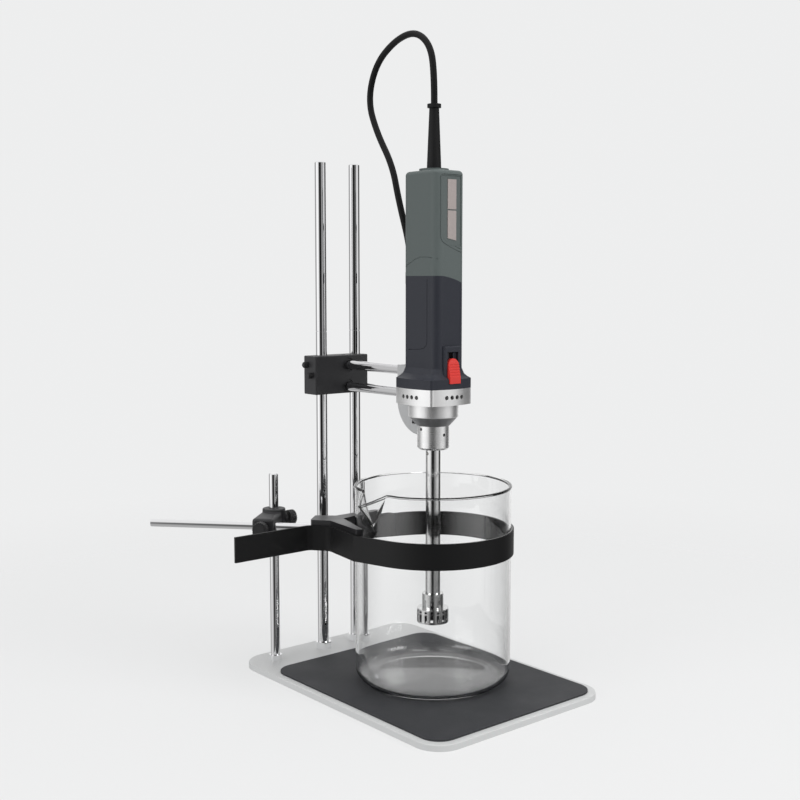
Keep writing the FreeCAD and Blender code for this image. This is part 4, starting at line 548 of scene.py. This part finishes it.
def clear_glass():
    """Clear glass with the faintest film on it."""
    mat = bpy.data.materials.new("borosilicate_glass")
    mat.use_nodes = True
    tree = mat.node_tree
    link = tree.links.new
    skin = tree.nodes["Principled BSDF"]
    skin.inputs["Transmission Weight"].default_value = 1.0
    skin.inputs["IOR"].default_value = 1.47
    place = node(tree, "ShaderNodeTexCoord")
    cloud = node(tree, "ShaderNodeTexNoise", inputs={"Scale": 14.0, "Detail": 3.0})
    link(place.outputs["Object"], cloud.inputs["Vector"])
    film = node(tree, "ShaderNodeMapRange", inputs={1: 0.35, 2: 0.75, 3: 0.0, 4: 0.006})
    link(cloud.outputs["Fac"], film.inputs[0])
    link(film.outputs[0], skin.inputs["Roughness"])
    tint = node(tree, "ShaderNodeMix", data_type="RGBA",
                inputs={6: (0.992, 0.996, 0.996, 1.0), 7: (1.0, 1.0, 1.0, 1.0)})
    link(cloud.outputs["Fac"], tint.inputs[0])
    link(tint.outputs[2], skin.inputs["Base Color"])
    return mat


def beaker_profile(turn):
    """Points (radius, height) of the wall at that angle from the lip, outside first, in mm."""
    off = abs(turn) / LIP_HALF_ANGLE
    crease = max(0.0, 1 - off)
    shoulder = math.exp(-((off - PINCH_AT) / PINCH_WIDTH) ** 2)

    def bent(radius, height):
        rise = 1 - (BEAKER_TOP - height) / LIP_DEPTH
        facet = max(0.0, rise - min(off, 1.0))
        pinch = PINCH * shoulder * max(0.0, rise) ** 2
        return (radius + LIP_REACH * facet - pinch, height - LIP_DROP * crease * max(0.0, rise) ** LIP_BEND)

    outer = [(0.0, BEAKER_BASE + 0.6), (0.72 * BEAKER_RADIUS, BEAKER_BASE + 0.4)]
    centre = BEAKER_RADIUS - FOOT_ROUND
    for i in range(FOOT_STEPS + 1):
        a = math.radians(90 * i / FOOT_STEPS)
        outer.append((centre + FOOT_ROUND * math.sin(a), BEAKER_BASE + FOOT_ROUND * (1 - math.cos(a))))
    rows = WALL_ROWS + [BEAKER_TOP - LIP_DEPTH + (LIP_DEPTH - RIM_BEAD) * i / LIP_ROWS
                        for i in range(LIP_ROWS + 1)]
    outer += [bent(BEAKER_RADIUS, z) for z in rows]
    middle = BEAKER_RADIUS - BEAKER_WALL / 2 + BEAD_OUT
    bead = []
    for i in range(BEAD_STEPS + 1):
        a = math.radians(BEAD_FROM + BEAD_TURN * i / BEAD_STEPS)
        bead.append(bent(middle + RIM_BEAD * BEAD_SPREAD * math.cos(a),
                         BEAKER_TOP - RIM_BEAD + RIM_BEAD * math.sin(a)))
    inner = [bent(BEAKER_RADIUS - BEAKER_WALL, z) for z in reversed(rows)]
    inner_round = FOOT_ROUND - BEAKER_WALL
    for i in range(FOOT_STEPS, -1, -1):
        a = math.radians(90 * i / FOOT_STEPS)
        inner.append((centre + inner_round * math.sin(a),
                      BEAKER_BASE + BEAKER_FLOOR + inner_round * (1 - math.cos(a))))
    inner.append((0.0, BEAKER_BASE + BEAKER_FLOOR))
    return outer + bead + inner


def beaker_piece(axis_x, axis_y):
    """The wall turned round its axis, in fine steps across the lip and wider ones elsewhere."""
    turns = [-LIP_ZONE + i * LIP_TURN for i in range(round(2 * LIP_ZONE / LIP_TURN) + 1)]
    turns += [LIP_ZONE + i * PLAIN_TURN for i in range(1, round((360 - 2 * LIP_ZONE) / PLAIN_TURN))]
    turns = [turn if turn <= 180 else turn - 360 for turn in turns]
    work = bmesh.new()
    columns = []
    for turn in turns:
        a = math.radians(180 + turn)
        column = [(axis_x + r * mm * math.cos(a), axis_y + r * mm * math.sin(a), z * mm)
                  for r, z in beaker_profile(turn)]
        if not columns:
            foot, inside = work.verts.new(column[0]), work.verts.new(column[-1])
        columns.append([foot] + [work.verts.new(point) for point in column[1:-1]] + [inside])
    for one, two in zip(columns, columns[1:] + columns[:1]):
        for i in range(len(one) - 1):
            corners = [one[i], two[i], two[i + 1], one[i + 1]]
            if i == 0:
                corners = [one[0], two[1], one[1]]
            if i == len(one) - 2:
                corners = [one[i], two[i], one[-1]]
            work.faces.new(corners)
    bmesh.ops.recalc_face_normals(work, faces=work.faces)
    for face in work.faces:
        face.smooth = True
    mesh = bpy.data.meshes.new("glass_beaker")
    work.to_mesh(mesh)
    work.free()
    mesh.materials.append(clear_glass())
    return shown("glass_beaker", mesh)


beaker = beaker_piece(work_axis.x, work_axis.y)
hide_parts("beaker")
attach(beaker, "stand")


# ---- vessel clamp ----
# A black painted casting with a vee nose bears on the glass, and a moulded rubber
# strap draws the beaker into it. A chromed rod carries both in the boss head.
STRAP_RADIUS = 79.7
MOULD_POLISH = 0.16
clamp_paint = finish("black_paint", tone(33, 33, 35), 0.34, mottle=0.08, grain=0.22, grain_size=0.6,
                     specular=0.7)
strap_rubber = finish("strap_rubber", tone(16, 16, 17), 0.55, mottle=0.08, grain=0.12, grain_size=0.6,
                      specular=0.35)


def smooth_inside(mat, axis, radius):
    """The strap's inner face, nearer the beaker's axis than its middle, has the mould's polish."""
    tree = mat.node_tree
    link = tree.links.new
    skin = tree.nodes["Principled BSDF"]
    outer = skin.inputs["Roughness"].links[0].from_socket
    place = node(tree, "ShaderNodeTexCoord")
    apart = node(tree, "ShaderNodeVectorMath", operation="SUBTRACT", inputs={1: (axis.x, axis.y, 0.0)})
    link(place.outputs["Object"], apart.inputs[0])
    flat = node(tree, "ShaderNodeVectorMath", operation="MULTIPLY", inputs={1: (1.0, 1.0, 0.0)})
    link(apart.outputs[0], flat.inputs[0])
    far = node(tree, "ShaderNodeVectorMath", operation="LENGTH")
    link(flat.outputs[0], far.inputs[0])
    face = node(tree, "ShaderNodeMapRange",
                inputs={1: radius - 0.2 * mm, 2: radius + 0.2 * mm, 3: MOULD_POLISH, 4: 0.55})
    link(far.outputs["Value"], face.inputs[0])
    less = node(tree, "ShaderNodeMath", operation="MINIMUM")
    link(outer, less.inputs[0])
    link(face.outputs[0], less.inputs[1])
    link(less.outputs[0], skin.inputs["Roughness"])


smooth_inside(strap_rubber, work_axis, STRAP_RADIUS * mm)
dress(clamp_paint, "v_jaw")
dress(strap_rubber, "strap")
dress(bright_chrome, "clamp_rod")


# ---- boss head ----
# A cast head with softly rounded edges, painted black. It is bored for the short post,
# and for the clamp rod across it, and each bore has a cross hole for a hand screw.
KNOB_AXIS_Z = 157.5
ROD_KNOB_FROM = (-108.581, 110.970, KNOB_AXIS_Z)            # where its hole meets the clamp rod, in mm
ROD_KNOB_WAY = (-0.745476, -0.666532, 0.0)
CAST_GRID, CAST_PASSES = 0.65, 14
POST_BORE, KNOB_BORE = 5.09, 3.05                           # radii in mm
POST_BORE_LONG, KNOB_BORE_LONG = 260.0, 30.0
CAST_CREASE = 40


def softened(name, solid, grid, passes):
    """A solid's copy with its cast edges rounded over."""
    made = shown(name, merged_copy(solid))
    skin = made.modifiers.new("skin", "REMESH")
    skin.mode = "VOXEL"
    skin.voxel_size = grid * mm
    skin.use_smooth_shade = True
    rounding = made.modifiers.new("rounding", "SMOOTH")
    rounding.factor = 0.5
    rounding.iterations = passes
    mesh = baked(made)
    made.modifiers.clear()
    made.data = mesh
    return made


def bored(solid, start, way, length, radius):
    """A round hole through the solid, from a point in m along a direction."""
    work = bmesh.new()
    bmesh.ops.create_cone(work, cap_ends=True, segments=96, radius1=radius * mm, radius2=radius * mm,
                          depth=length * mm)
    way = Vector(way).normalized()
    turn = way.to_track_quat("Z", "Y").to_matrix().to_4x4()
    work.transform(Matrix.Translation(Vector(start) + way * length / 2 * mm) @ turn)
    mesh = bpy.data.meshes.new("drill")
    work.to_mesh(mesh)
    work.free()
    cut_away(solid, shown("drill", mesh))


boss = softened("cast_boss_head", "boss_head", CAST_GRID, CAST_PASSES)
pillar_low, pillar_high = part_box("short_post")
pillar = (pillar_low + pillar_high) / 2
rod_hole = Vector(ROD_KNOB_FROM) * mm
bored(boss, (pillar.x, pillar.y, pillar_low.z), (0, 0, 1), POST_BORE_LONG, POST_BORE)
bored(boss, (pillar.x, pillar.y, rod_hole.z), (1, 0, 0), KNOB_BORE_LONG, KNOB_BORE)
bored(boss, rod_hole, ROD_KNOB_WAY, KNOB_BORE_LONG, KNOB_BORE)
creased(boss.data, CAST_CREASE)
coated(boss.data, "cast_boss_head",
       finish("cast_boss_paint", tone(38, 38, 40), 0.5, mottle=0.08, grain=0.3, grain_size=0.5))
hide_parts("boss_head")
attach(boss, "vessel_clamp")


# ---- hand screws ----
# Black phenolic grips with toothed rims, moulded on steel stems: two in the boss head,
# for its bores, and two small ones in the cross block, for the tall posts.
BOSS_GRIP = (15.8, 8.0, 6.0)                                # grip across and long, stem across, in mm
BLOCK_GRIP = (6.5, 5.5, 4.0)
BOSS_TEETH, BLOCK_TEETH = 22, 14
POST_STEM, ROD_STEM, BLOCK_STEM = 11.9, 9.9, 10.0           # stem lengths in mm
ROD_KNOB_REACH = 22.0                                       # from the clamp rod's middle to the grip's end
FACE_RAISED, FACE_SHARE = 0.8, 0.34
DISC_SHARE = 0.4995     # just under half, so that the face and the stem start inside the core
GRIP_CREASE = 40


def toothed_grip():
    """A grip built from its sizes: a core with teeth round it, a raised end face and a stem behind."""
    tree = bpy.data.node_groups.new("toothed_grip", "GeometryNodeTree")
    link = tree.links.new
    inputs = (("Teeth", "NodeSocketInt"), ("Radius", "NodeSocketFloat"), ("Length", "NodeSocketFloat"),
              ("Tooth Radius", "NodeSocketFloat"), ("Face Radius", "NodeSocketFloat"),
              ("Face Height", "NodeSocketFloat"), ("Stem Radius", "NodeSocketFloat"),
              ("Stem Length", "NodeSocketFloat"), ("Finish", "NodeSocketMaterial"))
    for name, kind in inputs:
        tree.interface.new_socket(name, in_out="INPUT", socket_type=kind)
    tree.interface.new_socket("Geometry", in_out="OUTPUT", socket_type="NodeSocketGeometry")
    given = node(tree, "NodeGroupInput")
    round_rim = node(tree, "GeometryNodeMeshCircle")
    link(given.outputs["Teeth"], round_rim.inputs["Vertices"])
    link(given.outputs["Radius"], round_rim.inputs["Radius"])
    tooth = node(tree, "GeometryNodeMeshCylinder", inputs={"Vertices": 10})
    link(given.outputs["Tooth Radius"], tooth.inputs["Radius"])
    link(given.outputs["Length"], tooth.inputs["Depth"])
    teeth = node(tree, "GeometryNodeInstanceOnPoints")
    link(round_rim.outputs["Mesh"], teeth.inputs["Points"])
    link(tooth.outputs["Mesh"], teeth.inputs["Instance"])
    core = node(tree, "GeometryNodeMeshCylinder", inputs={"Vertices": 64})
    link(given.outputs["Radius"], core.inputs["Radius"])
    link(given.outputs["Length"], core.inputs["Depth"])
    join = node(tree, "GeometryNodeJoinGeometry")
    link(teeth.outputs["Instances"], join.inputs["Geometry"])
    link(core.outputs["Mesh"], join.inputs["Geometry"])
    for radius, length, ahead in (("Face Radius", "Face Height", 1.0), ("Stem Radius", "Stem Length", -1.0)):
        disc = node(tree, "GeometryNodeMeshCylinder", inputs={"Vertices": 48})
        link(given.outputs[radius], disc.inputs["Radius"])
        link(given.outputs[length], disc.inputs["Depth"])
        total = node(tree, "ShaderNodeMath", operation="ADD")
        link(given.outputs["Length"], total.inputs[0])
        link(given.outputs[length], total.inputs[1])
        half = node(tree, "ShaderNodeMath", operation="MULTIPLY", inputs={1: ahead * DISC_SHARE})
        link(total.outputs[0], half.inputs[0])
        shift = node(tree, "ShaderNodeCombineXYZ")
        link(half.outputs[0], shift.inputs["Z"])
        moved = node(tree, "GeometryNodeTransform")
        link(disc.outputs["Mesh"], moved.inputs["Geometry"])
        link(shift.outputs[0], moved.inputs["Translation"])
        link(moved.outputs["Geometry"], join.inputs["Geometry"])
    real = node(tree, "GeometryNodeRealizeInstances")
    link(join.outputs["Geometry"], real.inputs["Geometry"])
    coat = node(tree, "GeometryNodeSetMaterial")
    link(real.outputs["Geometry"], coat.inputs["Geometry"])
    link(given.outputs["Finish"], coat.inputs["Material"])
    out = node(tree, "NodeGroupOutput")
    link(coat.outputs["Geometry"], out.inputs["Geometry"])
    return tree


def grown(name, tree, values):
    """A plain mesh from a tree and its sizes."""
    holder = shown(name, bpy.data.meshes.new(name))
    growth = holder.modifiers.new("growth", "NODES")
    growth.node_group = tree
    for socket in tree.interface.items_tree:
        if socket.in_out == "INPUT":
            growth[socket.identifier] = values[socket.name]
    mesh = baked(holder)
    bpy.data.objects.remove(holder)
    mesh.name = name
    return mesh


def hand_screw(name, solid, body, end, way, grip, stem_long, teeth):
    """Grows a grip and its stem along the way, with the grip's outer end at that point in m."""
    across, long, stem_across = grip
    tooth = math.pi * across / teeth / 4
    mesh = grown(name, grip_tree, {
        "Teeth": teeth, "Radius": (across / 2 - tooth) * mm, "Length": (long - FACE_RAISED) * mm,
        "Tooth Radius": tooth * mm, "Face Radius": across * FACE_SHARE * mm, "Face Height": FACE_RAISED * mm,
        "Stem Radius": stem_across / 2 * mm, "Stem Length": stem_long * mm, "Finish": knob_plastic})
    way = Vector(way).normalized()
    turn = way.to_track_quat("Z", "Y").to_matrix().to_4x4()
    mesh.transform(Matrix.Translation(Vector(end) - way * (long + FACE_RAISED) / 2 * mm) @ turn)
    creased(mesh, GRIP_CREASE)
    made = shown(name, mesh)
    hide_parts(solid)
    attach(made, body)


knob_plastic = finish("knob_phenolic", tone(44, 44, 45), 0.42, mottle=0.06, grain=0.2, grain_size=0.5)
grip_tree = toothed_grip()
post_low, post_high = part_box("boss_post_knob")
post_end = (post_high.x, (post_low.y + post_high.y) / 2, (post_low.z + post_high.z) / 2)
rod_end = rod_hole + Vector(ROD_KNOB_WAY) * ROD_KNOB_REACH * mm
hand_screw("post_knob_grip", "boss_post_knob", "post_knob", post_end, (1, 0, 0), BOSS_GRIP, POST_STEM,
           BOSS_TEETH)
hand_screw("rod_knob_grip", "boss_rod_knob", "rod_knob", rod_end, ROD_KNOB_WAY, BOSS_GRIP, ROD_STEM,
           BOSS_TEETH)
for side in ("rear", "front"):
    low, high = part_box(f"block_screw_{side}")
    block_end = (low.x, (low.y + high.y) / 2, (low.z + high.z) / 2)
    hand_screw(f"block_screw_grip_{side}", f"block_screw_{side}", f"block_screw_{side}", block_end,
               (-1, 0, 0), BLOCK_GRIP, BLOCK_STEM, BLOCK_TEETH)


# ---- strain relief and power cord ----
# A tapered rubber sleeve grips the cord at the crown of the housing. The cord is a
# round rubber-sheathed lead, looped over to the back. Its spare length is wound in a
# tied hank behind the housing, and the plug hangs below the tie.
cord_rubber = finish("cord_sheath", tone(13, 13, 14), 0.55, mottle=0.06, grain=0.2, grain_size=0.5,
                     specular=0.3)
boot_rubber = finish("boot_rubber", tone(22, 22, 23), 0.60, mottle=0.06, grain=0.25, grain_size=0.5,
                     specular=0.3)
dress(boot_rubber, "strain_relief", "power_plug")
dress(finish("tie_webbing", tone(40, 40, 42), 0.70, mottle=0.15, grain=0.6, grain_size=0.5), "hank_tie")

CORD_DIAMETER, CORD_LENGTH = 6.5, 1500.0
HANK_MIDDLE = 33.75
HANK_LAYERS = (24.95, 18.45, 11.95)
HANK_RUN_APART = 19.5
HANK_FOLD_RADIUS = 21.3
HANK_FOOT, HANK_HEAD = 339.6, 449.6
TIE_RUN = (396.0, 418.0)                                    # the runs lie straight through the tie
CORNER = HANK_FOLD_RADIUS * math.tan(math.radians(22.5))
CORD_OVER = [
    (7.0, -18.3, 577.7), (7.0, -18.3, 604.8), (7.2, -12.8, 633.8), (7.4, 9.2, 650.9), (7.7, 40.1, 647.7),
    (8.0, 72.8, 628.5), (8.2, 86.3, 593.4), (8.4, 72.7, 560.1), (8.6, 47.1, 524.2), (9.0, 37.8, 488.7),
    (14.25, 24.95, 438.3), (14.25, 24.95, 400.0),
]
CORD_TO_PLUG = [
    (14.6, 12.2, 421.0), (21.5, 14.4, 402.0), (28.6, 21.4, 388.0), (32.8, 30.4, 379.0), (33.75, 36.0, 369.0),
    (33.75, 36.0, 363.5),
]


def hank_turns():
    """The wound turns, each down the left side, round the foot, up the right and over the head."""
    left, right = HANK_MIDDLE - HANK_FOLD_RADIUS, HANK_MIDDLE + HANK_FOLD_RADIUS
    down, up = HANK_MIDDLE - HANK_RUN_APART, HANK_MIDDLE + HANK_RUN_APART
    points = []
    for layer, y in enumerate(HANK_LAYERS):
        after = HANK_LAYERS[min(layer + 1, len(HANK_LAYERS) - 1)]
        if layer:
            points += [(down, y, TIE_RUN[1]), (down, y, TIE_RUN[0])]
        points += [(left, y, HANK_FOOT + CORNER), (left, y, HANK_FOOT - CORNER),
                   (HANK_MIDDLE - CORNER, y, HANK_FOOT - HANK_FOLD_RADIUS),
                   (HANK_MIDDLE + CORNER, y, HANK_FOOT - HANK_FOLD_RADIUS),
                   (right, y, HANK_FOOT - CORNER), (right, y, HANK_FOOT + CORNER),
                   (up, y, TIE_RUN[0]), (up, y, TIE_RUN[1]),
                   (right, y, HANK_HEAD - CORNER), (right, y, HANK_HEAD + CORNER),
                   (HANK_MIDDLE + CORNER, y, HANK_HEAD + HANK_FOLD_RADIUS),
                   (HANK_MIDDLE - CORNER, (y + after) / 2, HANK_HEAD + HANK_FOLD_RADIUS),
                   (left, after, HANK_HEAD + CORNER), (left, after, HANK_HEAD - CORNER)]
    return points


def cord_line():
    """The whole lead as one line with its round sheath."""
    line = bpy.data.curves.new("power_cord_sheath", "CURVE")
    line.dimensions = "3D"
    line.bevel_depth = CORD_DIAMETER / 2 * mm
    line.bevel_resolution = 6
    line.use_fill_caps = True
    line.resolution_u = 10
    run = line.splines.new("NURBS")
    points = CORD_OVER + hank_turns() + CORD_TO_PLUG
    run.points.add(len(points) - 1)
    for held, (x, y, z) in zip(run.points, points):
        held.co = (x * mm, y * mm, z * mm, 1.0)
    run.order_u = 3
    run.use_endpoint_u = True
    run.use_smooth = True
    line.materials.append(cord_rubber)
    return shown("power_cord_sheath", line)


power_cord = cord_line()
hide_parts("power_cord", "cord_hank")
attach(power_cord, "motor_arm")
